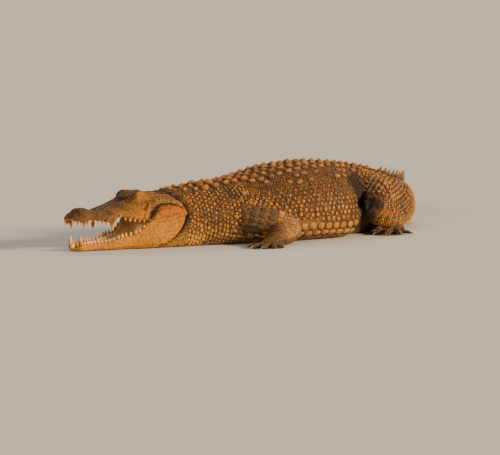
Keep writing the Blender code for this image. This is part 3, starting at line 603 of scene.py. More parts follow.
def worked(points, normals):
    # folds and forms pushed into or out of the surface
    u, v, z = points.T
    av, nv, nz = np.abs(v), np.abs(normals[:, 1]), normals[:, 2]
    back = behindHead(points)
    onHead = 1 - smooth(0.000, 0.008, back)
    sideways = smooth(0.15, 0.50, nv) * onHead
    upward = smooth(0.15, 0.55, nz) * (u < 0.47)
    push = np.zeros(len(points))
    near = u < 0.62
    a, b, c = u[near], z[near], av[near]
    for line in muzzle["side"]:
        push[near] += stroke(a, b, line) * sideways[near]
    for line in muzzle["top"]:
        push[near] += stroke(a, c, line) * upward[near] * (b > 0.13)
    plate = (smooth(0.350, 0.355, u) * smooth(0.428, 0.422, u) * smooth(0.047, 0.051, av) * smooth(0.183, 0.188, z)
             * (1 - smooth(0.004, 0.008, back)))
    push += relief["plate"] * plate
    # roots of the teeth, and the lips between them
    for row, rim, sign in ((muzzle["upperTeeth"], head["lipLine"], 1), (muzzle["lowerTeeth"], jaw["rim"], -1)):
        for h, length, radius in row:
            middle = rim(h) + sign * 0.55 * length * 0.5
            knob = np.exp(-((a - h * headLength) / (radius * 1.15)) ** 2
                          - ((b - middle) / (0.40 * length + 0.004)) ** 2)
            push[near] += knob * (relief["knob"] + relief["knobShare"] * length) * smooth(0.3, 0.7, nv[near])
    # rough bone under the skin of the snout and skull
    bony = onHead * (z > 0.1) * (u < 0.46)
    coarse, fine = relief["bone"]
    push += bony * (coarse * lumps(points, 0.021, 3) + fine * lumps(points, 0.010, 4))
    push += onHead * (z <= 0.1) * (u < 0.46) * relief["jaw"] * lumps(points, 0.016, 5)
    # the rear edge of the head, with the neck swelling behind it
    edge = (u > 0.36) * smooth(0.2, 0.6, nv) * smooth(0.0, 0.03, z)
    push += edge * sum(high * np.exp(-((back - middle) / wide) ** 2) for high, middle, wide in relief["edge"])
    # the neck's upright folds, the flank's soft sag and the wrinkled groin
    neck = smooth(0.012, 0.05, back) * (1 - smooth(0.62, 0.76, u)) * smooth(0.25, 0.6, nv) * (u > 0.36)
    folds = wave(u + 0.12 * (z - 0.1), relief["neckPitch"], 1.2 * lumps(points, 0.12, 6))
    push += neck * relief["neck"] * folds * (1 + 0.8 * lumps(points, 0.08, 14))
    trunk = smooth(0.70, 0.85, u) * (1 - smooth(1.45, 1.60, u))
    coarse, fine = relief["sag"]
    push += trunk * (coarse * lumps(points, 0.17, 8) + fine * lumps(points, 0.06, 9))
    low = trunk * smooth(0.45, 0.8, nv) * (1 - smooth(0.06, 0.12, z))
    push += low * relief["low"] * wave(u - 0.012, relief["lowPitch"], 0.5 * np.pi)
    groin = smooth(1.200, 1.232, u) * (1 - smooth(1.275, 1.345, u)) * smooth(0.09, 0.13, z) * (av < 0.25)
    groin = groin * (1 - smooth(0.232, 0.262, z)) * smooth(0.15, 0.5, nv)
    push -= np.where(v > 0, relief["groinLeft"], relief["groinRight"]) * groin
    haunch = smooth(1.30, 1.36, u) * (1 - smooth(1.54, 1.62, u)) * smooth(0.06, 0.12, av) * (z > 0.06)
    rows = wave(u - 0.45 * (z - 0.16), relief["haunchPitch"], 1.3 * lumps(points, 0.09, 10))
    push += haunch * smooth(0.2, 0.6, nv) * relief["haunch"] * rows
    # wrinkles across the limbs
    onLimb = (av > bodyHalf(u, z) + 0.006) & (u > 0.55) & (u < 1.66)
    wrinkle, fine = relief["limb"]
    wrinkles = wave(u + 0.4 * z, relief["limbPitch"], 1.5 * lumps(points, 0.03, 11))
    wrinkles = wrinkles * smooth(0.8, 0.84, u) * (1 - smooth(0.90, 0.94, u))
    push += onLimb * (wrinkle * wrinkles + fine * lumps(points, 0.018, 12))
    # the tail's whorls
    whorls = np.exp(-(np.sin(np.pi * (u - 1.58) / relief["whorlPitch"]) / 0.22) ** 2)
    push -= smooth(1.56, 1.66, u) * smooth(3.05, 2.9, u) * relief["whorl"] * whorls
    # the lining of the mouth
    inward = (normals[:, 1] * np.sign(v) < 0.15) & (normals[:, 2] > -0.8)
    throat = (u > 0.20) & (u < 0.345) & (z > 0.03) & (z < 0.115) & (av < 0.10) & inward
    push += throat * relief["throat"] * wave(z + 0.35 * u, relief["throatPitch"], 1.1 * lumps(points, 0.03, 13))
    return push


points, normals = coords(skin), normalsOf(skin)
moved = points + normals * worked(points, normals)[:, None]
moved[:, 2] = np.maximum(moved[:, 2], 0.001)  # nothing goes through the floor
setCoords(skin, moved)
print("worked")

# finer faces where the small forms of the face are
lids = {"turn": (-0.12, 0.86, 0.50), "thick": 0.0016, "open": 0.17, "long": 0.92, "tilt": 0.10, "reach": 0.026,
        "finer": (0.026, 0.019, 0.0165), "blend": 0.0014, "ball": 0.0020,
        "rim": (0.0007, 0.0014, 0.0012), "folds": ((0.0044, 0.0008), (0.0074, 0.0009)), "foldDepth": 0.0009}
eyes = {side: eyePlace * (1, side, 1) for side in (1, -1)}


def refine(piece, centres, reach):
    # smaller faces round some places
    middles = np.empty(len(piece.data.polygons) * 3)
    piece.data.polygons.foreach_get("center", middles)
    middles = middles.reshape(-1, 3)
    chosen = np.zeros(len(middles), bool)
    for centre in centres:
        chosen |= np.linalg.norm(middles - centre, axis=1) < reach
    pick(piece)
    bpy.ops.object.mode_set(mode="EDIT")
    bpy.ops.mesh.select_all(action="DESELECT")
    bpy.ops.object.mode_set(mode="OBJECT")
    piece.data.polygons.foreach_set("select", chosen)
    bpy.ops.object.mode_set(mode="EDIT")
    bpy.ops.mesh.select_mode(type="FACE")
    bpy.ops.mesh.subdivide(number_cuts=1, smoothness=0.0)
    bpy.ops.object.mode_set(mode="OBJECT")


for reach in lids["finer"]:
    refine(skin, list(eyes.values()), reach)


def eyeAxes(side):
    # out of the eye, forwards and up
    axis = np.multiply(lids["turn"], (1, side, 1))
    axis = axis / np.linalg.norm(axis)
    ahead = np.array([-1, 0, 0.0])
    ahead = ahead - axis * (ahead @ axis)
    ahead /= np.linalg.norm(ahead)
    rise = np.cross(axis, ahead)
    return axis, ahead, rise * np.sign(rise[2])


def lidded(points):
    # the lids close over the eye, but for a long slit
    points = points.copy()
    for side, centre in eyes.items():
        axis, ahead, rise = eyeAxes(side)
        q = points - centre
        r = np.linalg.norm(q, axis=1)
        near = (r < lids["reach"]) & (q @ axis > -0.002)
        q, r = q[near], r[near]
        way = q / r[:, None]
        across = np.arctan2(way @ ahead, way @ axis)
        above = np.arcsin(np.clip(way @ rise, -1, 1)) + lids["tilt"] * across
        opening = lids["open"] * (1 - np.clip(np.abs(across) / lids["long"], 0, 1) ** 2.2) - 0.02
        beyond = (np.abs(above) - opening) * eyeRadius  # distance past the edge of the slit
        high, middle, wide = lids["rim"]
        over = eyeRadius + lids["thick"] + high * np.exp(-((beyond - middle) / wide) ** 2)
        over -= lids["foldDepth"] * sum(np.exp(-((beyond - middle) / wide) ** 2) for middle, wide in lids["folds"])
        fade = 1 - smooth(0.85, 1.20, np.arccos(np.clip(way @ axis, -1, 1)))
        blend, ball = lids["blend"], eyeRadius - lids["ball"]
        bulge = np.logaddexp(r / blend, over / blend) * blend
        lid = smooth(-0.0006, 0.0006, beyond)
        target = r + fade * (ball + lid * (bulge - ball) - r)
        points[near] = centre + way * target[:, None]
    return points


setCoords(skin, lidded(coords(skin)))
print("lids", len(skin.data.polygons), "faces")

# where the skin's surface is, for everything that grows from it

skin.data.update()
surface = BVHTree.FromObject(skin, bpy.context.evaluated_depsgraph_get())
ground, groundNormal = coords(skin), normalsOf(skin)
print("surface ready")


def settled(places, reach=0.02):
    # the nearest places of the skin, and which were within reach
    spots, ways, found = np.array(places, float), np.zeros((len(places), 3)), np.zeros(len(places), bool)
    for i, place in enumerate(spots.tolist()):
        spot, way, _, _ = surface.find_nearest(place, reach)
        if spot is not None:
            spots[i], ways[i], found[i] = spot, way, True
    return spots, ways, found


def halfRing(u):
    # half of the body's section, and the distance round it from the top of the back
    ring = bodySection(u, 160)[:81]
    return ring, np.concatenate([[0], np.cumsum(np.linalg.norm(np.diff(ring, axis=0), axis=1))])


def bodyRow(u, arcs):
    # places on the body's section, by distance round from the top of the back
    ring, away = halfRing(u)
    arcs = np.asarray(arcs, float)
    v = np.interp(np.abs(arcs), away, ring[:, 1]) * np.sign(arcs)
    z = np.interp(np.abs(arcs), away, ring[:, 2])
    return np.stack([np.full(len(arcs), u), v, z], 1)


def arcTo(u, height):
    # distance round from the top of the back to a height near the floor, or all the way for a height below it
    ring, away = halfRing(u)
    below = np.flatnonzero(ring[:, 2] < height)
    return away[below[0]] if len(below) else away[-1]


# the coat: every scale is a small closed shell, shaped by its neighbours

coat = []  # one entry for each set of scales
skinTree = treeOf(ground)


def smoothNormals(spots):
    # the skin's direction at some spots, evened out over its nearest vertices
    ways = np.array([groundNormal[nearest(skinTree, spot, 6)].sum(0) for spot in spots.tolist()]).reshape(-1, 3)
    return ways / np.linalg.norm(ways, axis=1)[:, None]


def addScales(piece, spots, ways, sizes, form, roots, tailward=(1, 0, 0)):
    # sizes: half length, half width and height for each
    spots, ways = np.asarray(spots, float), np.asarray(ways, float)
    if not len(spots):
        return
    tailward = np.broadcast_to(np.asarray(tailward, float), spots.shape)
    back = tailward - ways * (tailward * ways).sum(1)[:, None]
    length = np.linalg.norm(back, axis=1)
    poor = length < 0.15
    back[poor] = np.cross(ways[poor], (0, 1, 0.1))
    back /= np.linalg.norm(back, axis=1)[:, None]
    swing = random.normal(0, form.get("swing", 0.06), len(spots))[:, None]
    side = np.cross(ways, back)
    back, side = back * np.cos(swing) + side * np.sin(swing), side * np.cos(swing) - back * np.sin(swing)
    sizes = np.broadcast_to(np.asarray(sizes, float), (len(spots), 3)) * random.uniform(0.93, 1.07, (len(spots), 1))
    coat.append({"piece": piece, "spot": spots, "way": ways, "back": back, "side": side, "size": sizes,
                 "form": form, "root": np.asarray(roots, float)})


def clear(spots, room):
    # which places are outside the scales laid so far
    free = np.ones(len(spots), bool)
    tree = treeOf(spots)
    for group in coat:
        for spot, back, side, (long, wide, _) in zip(group["spot"], group["back"], group["side"], group["size"]):
            near = within(tree, spot, max(long, wide) + room)
            if near:
                offset = spots[near] - spot
                x, y = offset @ back / (long + room), offset @ side / (wide + room)
                free[near] &= x * x + y * y > 0.85
    return free


def scattered(chosen, spacing, seed):
    # skin vertices picked so that no two are nearer than the spacing
    indices = np.flatnonzero(chosen)
    order = np.random.default_rng(seed).permutation(len(indices))
    places = ground[indices]
    gaps = np.broadcast_to(spacing, (len(ground),))[indices]
    tree, alive, kept = treeOf(places), np.ones(len(places), bool), []
    for i in order:
        if alive[i]:
            kept.append(i)
            alive[within(tree, places[i], gaps[i])] = False
    return indices[kept]


forms = {  # rings: share of the outline and of the height; power: how square; tile: neighbours cut the outline
    "keeled": {"sides": 16, "rings": ((1.0, -0.16), (0.95, 0.20), (0.80, 0.36), (0.56, 0.45), (0.30, 0.50),
                                      (0.12, 0.52)), "keel": 0.50, "power": 2.7, "gap": 0.03,
               "follow": True},
    "pad": {"sides": 10, "rings": ((1.0, -0.25), (0.94, 0.42), (0.66, 0.86), (0.30, 1.0)), "keel": 0.0,
            "power": 2.2, "gap": 0.05, "follow": True},
    "plate": {"sides": 12, "rings": ((1.0, -0.5), (0.95, 0.45), (0.74, 0.88), (0.36, 1.0)), "keel": 0.1,
              "power": 5, "gap": 0.05, "follow": True, "swing": 0.03},
    "blade": {"sides": 10, "rings": ((1.0, -0.16), (0.90, 0.14), (0.72, 0.42), (0.48, 0.70), (0.24, 0.92)),
              "keel": 0.0, "power": 2.0, "gap": 0.0, "lean": 0.75, "swing": 0.05, "tile": False},
    "grain": {"sides": 6, "rings": ((1.0, -0.35), (0.74, 0.75)), "keel": 0.0, "power": 2.0, "gap": 0.06,
              "crown": 0.42},
    "bead": {"sides": 8, "rings": ((1.0, -0.30), (0.90, 0.40), (0.55, 0.90)), "keel": 0.0, "power": 2.2, "gap": 0.06},
    "face": {"sides": 7, "rings": ((1.0, -0.30), (0.88, 0.80)), "keel": 0.0, "power": 2.8, "gap": 0.035, "swing": 0.5},
}


def gather(rows):
    # body rows given as lists of (u, arcs): spots on the skin, smoothed normals and the places on the unwrapped skin
    places = np.vstack([bodyRow(u, arcs) for u, arcs in rows])
    roots = np.vstack([np.stack([np.full(len(arcs), u), arcs], 1) for u, arcs in rows])
    spots, _, found = settled(places)
    spots, roots = spots[found], roots[found]
    return spots, smoothNormals(spots), roots


def gatherClear(rows, room):
    # the same, without those on scales laid before
    found = gather(rows)
    free = clear(found[0], room)
    return [part[free] for part in found]


def strays(rows, wander):
    # both sides' places of rows of (u, distance round), each a little off its line
    return [(u + random.normal(0, wander[0]), [sign * (s + random.normal(0, wander[1]))])
            for u, s in rows for sign in (1, -1)]


def between(low, high, count):
    # random values as one column
    return random.uniform(low, high, (count, 1))


# the back: a shield of keeled scutes in cross rows, the neck's cluster, and loose ones at the sides
fullWidth = 0.25  # the half width that distances round the body are given for
back = {
    "rows": (0.694, 1.548, 0.0452), "columns": (0.0225, 0.0675, 0.1125), "outerColumn": (0.78, 1.42),
    "wander": 0.0022, "inner": (0.0205, 0.0188, 0.0136), "outer": (0.0190, 0.0160, 0.0120),
    "vary": ((0.86, 1.06), (0.86, 1.06), (0.72, 1.1)), "rearward": 0.22,
    "nape": ((0.462, (0.015, 0.043), 0.0130, 0.0120, 0.0095), (0.503, (0.021, 0.053), 0.0140, 0.0140, 0.0120),
             (0.546, (0.026, 0.064), 0.0150, 0.0140, 0.0120), (0.590, (0.0220, 0.0650), 0.0240, 0.0215, 0.0175),
             (0.639, (0.0220, 0.0640), 0.0230, 0.0205, 0.0170)), "napeOuter": 0.86,
    "loose": (0.78, 1.40, 0.046), "looseArcs": (0.153, 0.192), "kept": 0.62, "looseWander": (0.008, 0.006),
    "looseSize": ((0.0130, 0.0205), (0.0110, 0.0165), (0.0080, 0.0115)),
    "form": {**forms["keeled"], "tone": 0.5},
}
for u, arcs, *size in back["nape"]:
    both = np.array([sign * s for s in arcs for sign in (1, -1)])
    spots, ways, roots = gather([(u, both)])
    outer = np.abs(roots[:, 1]) > arcs[0] + 0.01
    sizes = np.array(size) * np.where(outer, back["napeOuter"], 1.0)[:, None]
    addScales("backScutes", spots, ways, sizes, forms["keeled"], roots)
for u in np.arange(*back["rows"]):
    share = np.clip(float(body["width"](u)) / fullWidth, 0.5, 1) ** 0.6
    first, last = back["outerColumn"]
    columns = back["columns"] if first < u < last else back["columns"][:2]
    arcs = np.array([sign * s * share for s in columns for sign in (1, -1)])
    jitter = random.normal(0, back["wander"], (len(arcs), 2))
    spots, _, _ = settled(np.vstack([bodyRow(u + du, [s + ds]) for s, (du, ds) in zip(arcs, jitter)]))
    edge = np.abs(arcs) / share > 0.09
    grow = (1, share, 1.0 + back["rearward"] * smooth(1.2, 1.5, u))
    sizes = np.stack([np.where(edge, outer, inner) * more * random.uniform(*vary, len(arcs))
                      for inner, outer, more, vary in zip(back["inner"], back["outer"], grow, back["vary"])], 1)
    addScales("backScutes", spots, smoothNormals(spots), sizes, back["form"],
              np.stack([np.full(len(arcs), u), arcs], 1))
loose = []
for u in np.arange(*back["loose"]):
    share = float(body["width"](u)) / fullWidth
    for s in back["looseArcs"]:
        for sign in (1, -1):
            if random.random() < back["kept"]:
                ahead, aside = back["looseWander"]
                loose.append((u + random.normal(0, ahead), [sign * (s * share + random.normal(0, aside))]))
spots, ways, roots = gather(loose)
sizes = np.stack([random.uniform(*span, len(spots)) for span in back["looseSize"]], 1)
addScales("backScutes", spots, ways, sizes, back["form"], roots)
print("back scutes")

# the flanks: lengthwise rows of round pads that grow into tall plates low down
flank = {
    "span": (0.735, 1.222), "floor": 0.022,
    "pitches": (0.0220, 0.0215, 0.0215, 0.0215, 0.0215, 0.0215, 0.0220, 0.0235, 0.0270),
    "top": 0.200, "bottom": 0.077,
    "size": (0.0088, 0.0096, 0.0048), "wander": (0.0020, 0.0020), "form": {**forms["pad"], "tone": 0.6},
    "tallPitch": 0.0385, "tallArcs": (0.057, 0.020), "tallSize": (0.0188, 0.0175, 0.0050),
    "tallWander": (0.0012, 0.0012),
}
first, last = flank["span"]
pads, count = [], len(flank["pitches"])
for number, pitch in enumerate(flank["pitches"]):
    for u in np.arange(first, last, pitch) + 0.5 * pitch * (number % 2):
        top = flank["top"] * float(body["width"](u)) / fullWidth
        s = top + (arcTo(u, flank["floor"]) - flank["bottom"] - top) * (number + 0.5) / count
        pads += strays([(u, s)], flank["wander"])
tallPads = []
for arc in flank["tallArcs"]:
    for u in np.arange(first, last, flank["tallPitch"]):
        tallPads += strays([(u, arcTo(u, flank["floor"]) - arc)], flank["tallWander"])
spots, ways, roots = gatherClear(pads, 0.004)
grow = (1 - 0.45 * smooth(0.12, 0.21, spots[:, 2]))[:, None]
rearward = (1 - 0.15 * smooth(1.16, 1.28, spots[:, 0]))[:, None]
sizes = np.hstack([grow * rearward, grow * rearward, grow]) * flank["size"] * between(0.80, 1.15, len(spots))
addScales("flankPads", spots, ways, sizes, flank["form"], roots)
spots, ways, roots = gatherClear(tallPads, 0.004)
addScales("flankPads", spots, ways, flank["tallSize"] * between(0.93, 1.05, len(spots)), forms["plate"], roots)
print("flank pads")

# the neck: upright rows of pads, longer and paler towards the throat
neck = {"rows": (0.478, 0.735, 0.0158), "from": (0.088, 0.009), "pitch": 0.0178, "floor": 0.010,
        "wander": (0.0016, 0.0016), "size": (0.0060, 0.0066, 0.0038), "lower": (0.0008, 0.0030, -0.0010)}
neckRows = []
for number, u in enumerate(np.arange(*neck["rows"])):
    begin = neck["from"][0] + neck["from"][1] * (number % 2)
    neckRows += [(u, s) for s in np.arange(begin, arcTo(u, neck["floor"]), neck["pitch"])]
found = gatherClear(strays(neckRows, neck["wander"]), 0.004)
spots, ways, roots = (part[behindHead(found[0]) > 0.012] for part in found)
sizes = neck["size"] + np.outer(1 - smooth(0.055, 0.105, spots[:, 2]), neck["lower"])
addScales("neckPads", spots, ways, sizes * between(0.85, 1.15, len(spots)), forms["pad"], roots)
print("neck pads")

# the belly: flat plates in rows, pressed against the floor
belly = {"rows": (0.50, 1.56, 0.0385), "pitch": 0.0310, "floor": 0.022, "size": (0.0185, 0.0150, 0.0016)}
plates = []
for u in np.arange(*belly["rows"]):
    for s in np.arange(arcTo(u, belly["floor"]) + 0.016, arcTo(u, -1) + 0.004, belly["pitch"]):
        plates += [(u, [s]), (u, [-s])]
spots, ways, roots = gatherClear(plates, 0.003)
addScales("bellyPlates", spots, ways, belly["size"], forms["plate"], roots)
print("belly plates")

# the tail: rings of plates, and the tall scutes of its crest
tail = {
    "double": (1.58, 2.34, 17), "single": (2.34, 3.10, 18),  # the crest in two rows, then in one: from, to, how many
    "around": 13, "wide": (0.0080, 0.0185), "wander": 0.07, "thin": 0.0012, "thick": 0.0022,
    "knobsTo": 1.96, "knobs": (0.90, 0.90, 1.5), "bladeLong": 0.47, "bladeThin": (0.16, 0.0016, 0.002, 0.0055),
    "bladeHigh": (0.30, 0.38), "upright": (0.35, 0.65),
}
rings, ringSizes, blades, bladeSizes = [], [], [], []
for first, last, count in (tail["double"], tail["single"]):
    pitch = (last - first) / count
    for number in range(count):
        u = first + (number + 0.5) * pitch
        spread = float(body["spread"](u))
        wide = np.clip(arcTo(u, 0.003) / tail["around"], *tail["wide"])
        for shift in (-0.25, 0.25):
            begin = spread + (0.55 if shift < 0 else 1.05) * wide + 0.004
            for s in np.arange(begin, arcTo(u, -1) + 0.2 * wide, wide):
                for sign in (1, -1):
                    stray = random.normal(0, tail["wander"], 2) * (0.5 * pitch, wide)
                    rings.append((u + shift * pitch + stray[0], [sign * (s + stray[1])]))
                    ringSizes.append((0.5 * pitch, wide))
            room = spread - 0.5 * wide  # between the two rows of the crest
            for s in np.linspace(-room, room, int(2 * room / (0.9 * wide)) + 1) if room > 0.3 * wide else ():
                rings.append((u + shift * pitch, [s + 1e-6]))
                ringSizes.append((0.5 * pitch, wide))
        for sign in (0,) if spread < 0.006 else (1, -1):
            blades.append((first + (number + 0.60) * pitch, [sign * spread + 1e-6]))
            bladeSizes.append((pitch, float(body["crest"](u))))
spots, ways, roots = gather(blades)
long, high = np.transpose(bladeSizes)
long = long * tail["bladeLong"]
keep, lift = tail["upright"]
ways = ways * keep + (0, 0, lift)
ways /= np.linalg.norm(ways, axis=1)[:, None]
low, more = tail["bladeHigh"]
tip = body["top"](spots[:, 0]) + (low + more * smooth(1.66, 2.05, spots[:, 0])) * high - spots[:, 2]
share, least, thin, thick = tail["bladeThin"]
sizes = np.stack([long, np.clip(share * long + least, thin, thick), np.maximum(tip, 0.006)], 1)
addScales("tailCrest", spots, ways, sizes, {**forms["blade"], "tone": 0.4}, roots)
spots, ways, roots = gather(rings)
long, wide = np.array(ringSizes)[:len(spots)].T
fade = smooth(animal["length"], 2.2, spots[:, 0])
sizes = np.stack([long * 0.56, wide * 0.60, tail["thin"] + tail["thick"] * fade], 1)
free = clear(spots, -0.002)
early = spots[:, 0] < tail["knobsTo"]
knobs = sizes * tail["knobs"] * between(0.82, 1.08, len(spots))
for part, size, form in ((free & early, knobs, forms["pad"]), (free & ~early, sizes, forms["plate"])):
    addScales("tailPlates", spots[part], ways[part], size[part], form, roots[part])
print("tail")

# the hips: upright rows of knobs between the last back scutes and the thighs
hips = {"rows": (1.335, 1.575, 0.0138), "from": (0.105, 0.010), "to": 0.250, "pitch": 0.0195,
        "wander": (0.0012, 0.0016), "size": (0.0068, 0.0094, 0.0042), "lane": (0.0, 3.2)}
hipRows = []
for number, u in enumerate(np.arange(*hips["rows"])):
    begin = hips["from"][0] + hips["from"][1] * (number % 2)
    hipRows += [(u, s) for s in np.arange(begin, hips["to"], hips["pitch"])]
spots, ways, roots = gatherClear(strays(hipRows, hips["wander"]), 0.003)
sizes = hips["size"] * between(0.8, 1.15, len(spots))
addScales("limbScales", spots, ways, sizes, forms["pad"], roots + hips["lane"])
print("hips")

# the limbs: scales set in rows round each length of a limb
limbRows = (  # limb, joints, pitch along and round, size, form, how much of the length, lane on the unwrapped skin
    ("fore", ("shoulder", "arm", "elbow"), 0.0290, 0.0245, (0.0162, 0.0138, 0.0040), "plate", (0.05, 0.86), 0),
    ("fore", ("elbow", "forearm", "wrist"), 0.0098, 0.0100, (0.0053, 0.0054, 0.0019), "bead", (0.02, 1.0), 0.6),
    ("hind", ("hip", "thigh", "knee"), 0.0125, 0.0190, (0.0066, 0.0100, 0.0036), "bead", (-0.15, 1.0), 1.2),
    ("hind", ("knee", "shin", "ankle"), 0.0105, 0.0112, (0.0057, 0.0061, 0.0022), "bead", (0.0, 1.0), 1.8),
)
for limb, joints, along, around, size, form, (begin, stop), lane in limbRows:
    for side in (1, -1):
        chain = np.array([limbJoint(limb, joint, side) for joint in joints])
        path = spline(chain, 12)
        place, radius = path[:, :3], path[:, 3:].mean(1)
        run = np.concatenate([[0], np.cumsum(np.linalg.norm(np.diff(place, axis=0), axis=1))])
        way = np.gradient(place, axis=0)
        way /= np.linalg.norm(way, axis=1)[:, None]
        spots, roots, heading = [], [], []
        for number, distance in enumerate(np.arange(begin * run[-1], stop * run[-1], along)):
            centre = [np.interp(distance, run, place[:, k]) for k in range(3)]
            axis = np.array([np.interp(distance, run, way[:, k]) for k in range(3)])
            if distance < 0:
                centre = place[0] + way[0] * distance
            axis /= np.linalg.norm(axis)
            across = np.cross((0, 0, 1), axis)
            across /= np.linalg.norm(across)
            up = np.cross(axis, across)
            thick = float(np.interp(distance, run, radius))
            count = max(6, int(round(2 * np.pi * thick / around)))
            for k in range(count):
                angle = 2 * np.pi * (k + (0.5 * (number % 2) if form == "bead" else 0.0)) / count
                ray = across * math.cos(angle) + up * math.sin(angle)
                spot, normal, _, away = surface.ray_cast(Vector(centre), Vector(ray), thick * 1.45)
                if spot is not None and away > 0.35 * thick and Vector(ray).dot(normal) > 0.25:
                    spots.append(spot)
                    roots.append((distance, angle * 0.04))
                    heading.append(axis)
        spots, roots, heading = np.array(spots), np.array(roots), np.array(heading)
        spots += random.normal(0, 0.0006, spots.shape)
        free = clear(spots, 0.001)
        spots, roots, heading = spots[free], roots[free], heading[free]
        roots = roots + (0, 0.3 * (side < 0)) + (0, lane)
        sizes = size * between(0.9, 1.1, len(spots))
        addScales("limbScales", spots, smoothNormals(spots), sizes, forms[form], roots, heading)
print("limbs")


def eyeDistance(points):
    # how far places are from the nearer eye
    return np.min([np.linalg.norm(points - centre, axis=1) for centre in eyes.values()], axis=0)


def jawRim(h):
    # the lower jaw's upper edge, which stays under the lip
    return np.minimum(jaw["rim"](h), head["lipLine"](h) - 0.001)


def mouthLining(points, normals):
    # inside of the mouth: the palate, and the trough of the lower jaw
    u, v, z = points.T
    h = u / headLength
    lip, rim = head["lipLine"](h), jawRim(h)
    ceiling = lip + 0.002 + 0.016 * (1 - smooth(0.27, 0.30, u))
    upper = (normals[:, 2] < -0.25) & (z > lip - 0.012) & (z < ceiling)
    upper &= np.abs(v) < head["lipWidth"](h) * headLength - 0.004
    inward = (normals[:, 1] * np.sign(v) < 0.10) | (np.abs(v) < 0.04)
    lower = inward & (normals[:, 2] > -0.35) & (z > 0.010) & (z < rim + 0.004)
    lower &= np.abs(v) < jaw["width"](h) * headLength - 0.003
    return (upper | lower) & (u < 0.345) & (h < 0.80)


# the small scales between: finest on the face, feet and round the eyes
fineCoat = {
    "head": {"under": 0.0062, "top": 0.0056, "joint": 0.0046, "eye": 0.0036, "nose": 0.0050,
             "size": (0.92, 0.92, 0.15), "lowHeight": 0.65, "topHeight": 1.25},
    "feet": {"spacing": 0.0060, "size": (0.0036, 0.0036, 0.0012), "reach": {"fore": 0.165, "hind": 0.195},
             "crown": 0.8},
    "body": {"front": 0.0062, "rear": 0.0070, "hips": 0.0074, "limbs": 0.0058, "size": (0.68, 0.68, 0.24),
             "throatCrown": 0.85},
}
inside = mouthLining(ground, groundNormal)
eyeAway = eyeDistance(ground)
behind = behindHead(ground)
u, v, z = ground.T
look = fineCoat["head"]
onHead = (behind < 0.002) & (u < 0.475) & ~inside & (eyeAway >= eyeRadius + 0.0012) & (z > 0.0025)
spacing = np.where(z < 0.115, look["under"], look["top"])
spacing = np.where((u > 0.305) & (u < 0.46) & (z > 0.108) & (z < 0.152) & (np.abs(v) > 0.08), look["joint"], spacing)
spacing = np.where(eyeAway < 0.034, look["eye"], spacing)
spacing = np.where(u < 0.055, look["nose"], spacing)
kept = scattered(onHead, spacing, 21)
sizes = spacing[kept][:, None] * look["size"]
sizes[:, 2] *= (np.where(ground[kept, 2] < 0.105, look["lowHeight"], 1.0)
                * np.where(groundNormal[kept, 2] > 0.5, look["topHeight"], 1.0))
headRoots = np.stack([ground[kept, 0], np.arctan2(ground[kept, 1], ground[kept, 2] - 0.09) * 0.08], 1)
addScales("headScales", ground[kept], groundNormal[kept], sizes, forms["face"], headRoots)
print("head scales", len(kept))
look = fineCoat["feet"]
paws = np.zeros(len(ground), bool)
for side in (1, -1):
    for limb in ("fore", "hind"):
        start, forward, _, _ = toeLines(limb, side)
        close = np.linalg.norm((ground - start)[:, :2], axis=1) < look["reach"][limb]
        paws |= close & ((ground - start) @ forward > -0.006) & (z < 0.058) & (np.abs(v) > bodyHalf(u, z) + 0.003)
kept = scattered(paws & (z > 0.0025), look["spacing"], 22)
kept = kept[clear(ground[kept], 0.0022)]
addScales("feetScales", ground[kept], groundNormal[kept], look["size"], {**forms["grain"], "crown": look["crown"]},
          np.stack([ground[kept, 0] * 3, ground[kept, 1] * 2], 1))
print("feet", len(kept))
look = fineCoat["body"]
spacing = np.where(u < 0.74, look["front"], look["rear"])
spacing = np.where(u > 1.26, look["hips"], spacing)
spacing = np.where(np.abs(v) > bodyHalf(u, z) + 0.004, look["limbs"], spacing)
kept = scattered((behind > -0.001) & (u > 0.36) & (z > 0.004) & ~paws & (u < 1.62), spacing, 23)
kept = kept[clear(ground[kept], 0.0022)]
throat = (ground[kept, 0] < 0.56) & (ground[kept, 2] < 0.11)
for part, form in ((kept[~throat], forms["grain"]), (kept[throat], {**forms["grain"], "crown": look["throatCrown"]})):
    addScales("grains", ground[part], groundNormal[part], spacing[part][:, None] * look["size"], form,
              np.stack([ground[part, 0], np.arctan2(ground[part, 1], ground[part, 2] - 0.08) * 0.25], 1))
print("grains", len(kept))

# neighbours set the outline of each scale
allSpots, allWays, allBack, allSide, allSize = (
    np.vstack([group[key] for group in coat]) for key in ("spot", "way", "back", "side", "size"))
tree = treeOf(allSpots)
nearby = 20
neighbours = np.empty((len(allSpots), nearby), int)
for i, place in enumerate(allSpots.tolist()):
    neighbours[i] = [index for index in nearest(tree, place, nearby + 1) if index != i][:nearby]
print("scales", len(allSpots))


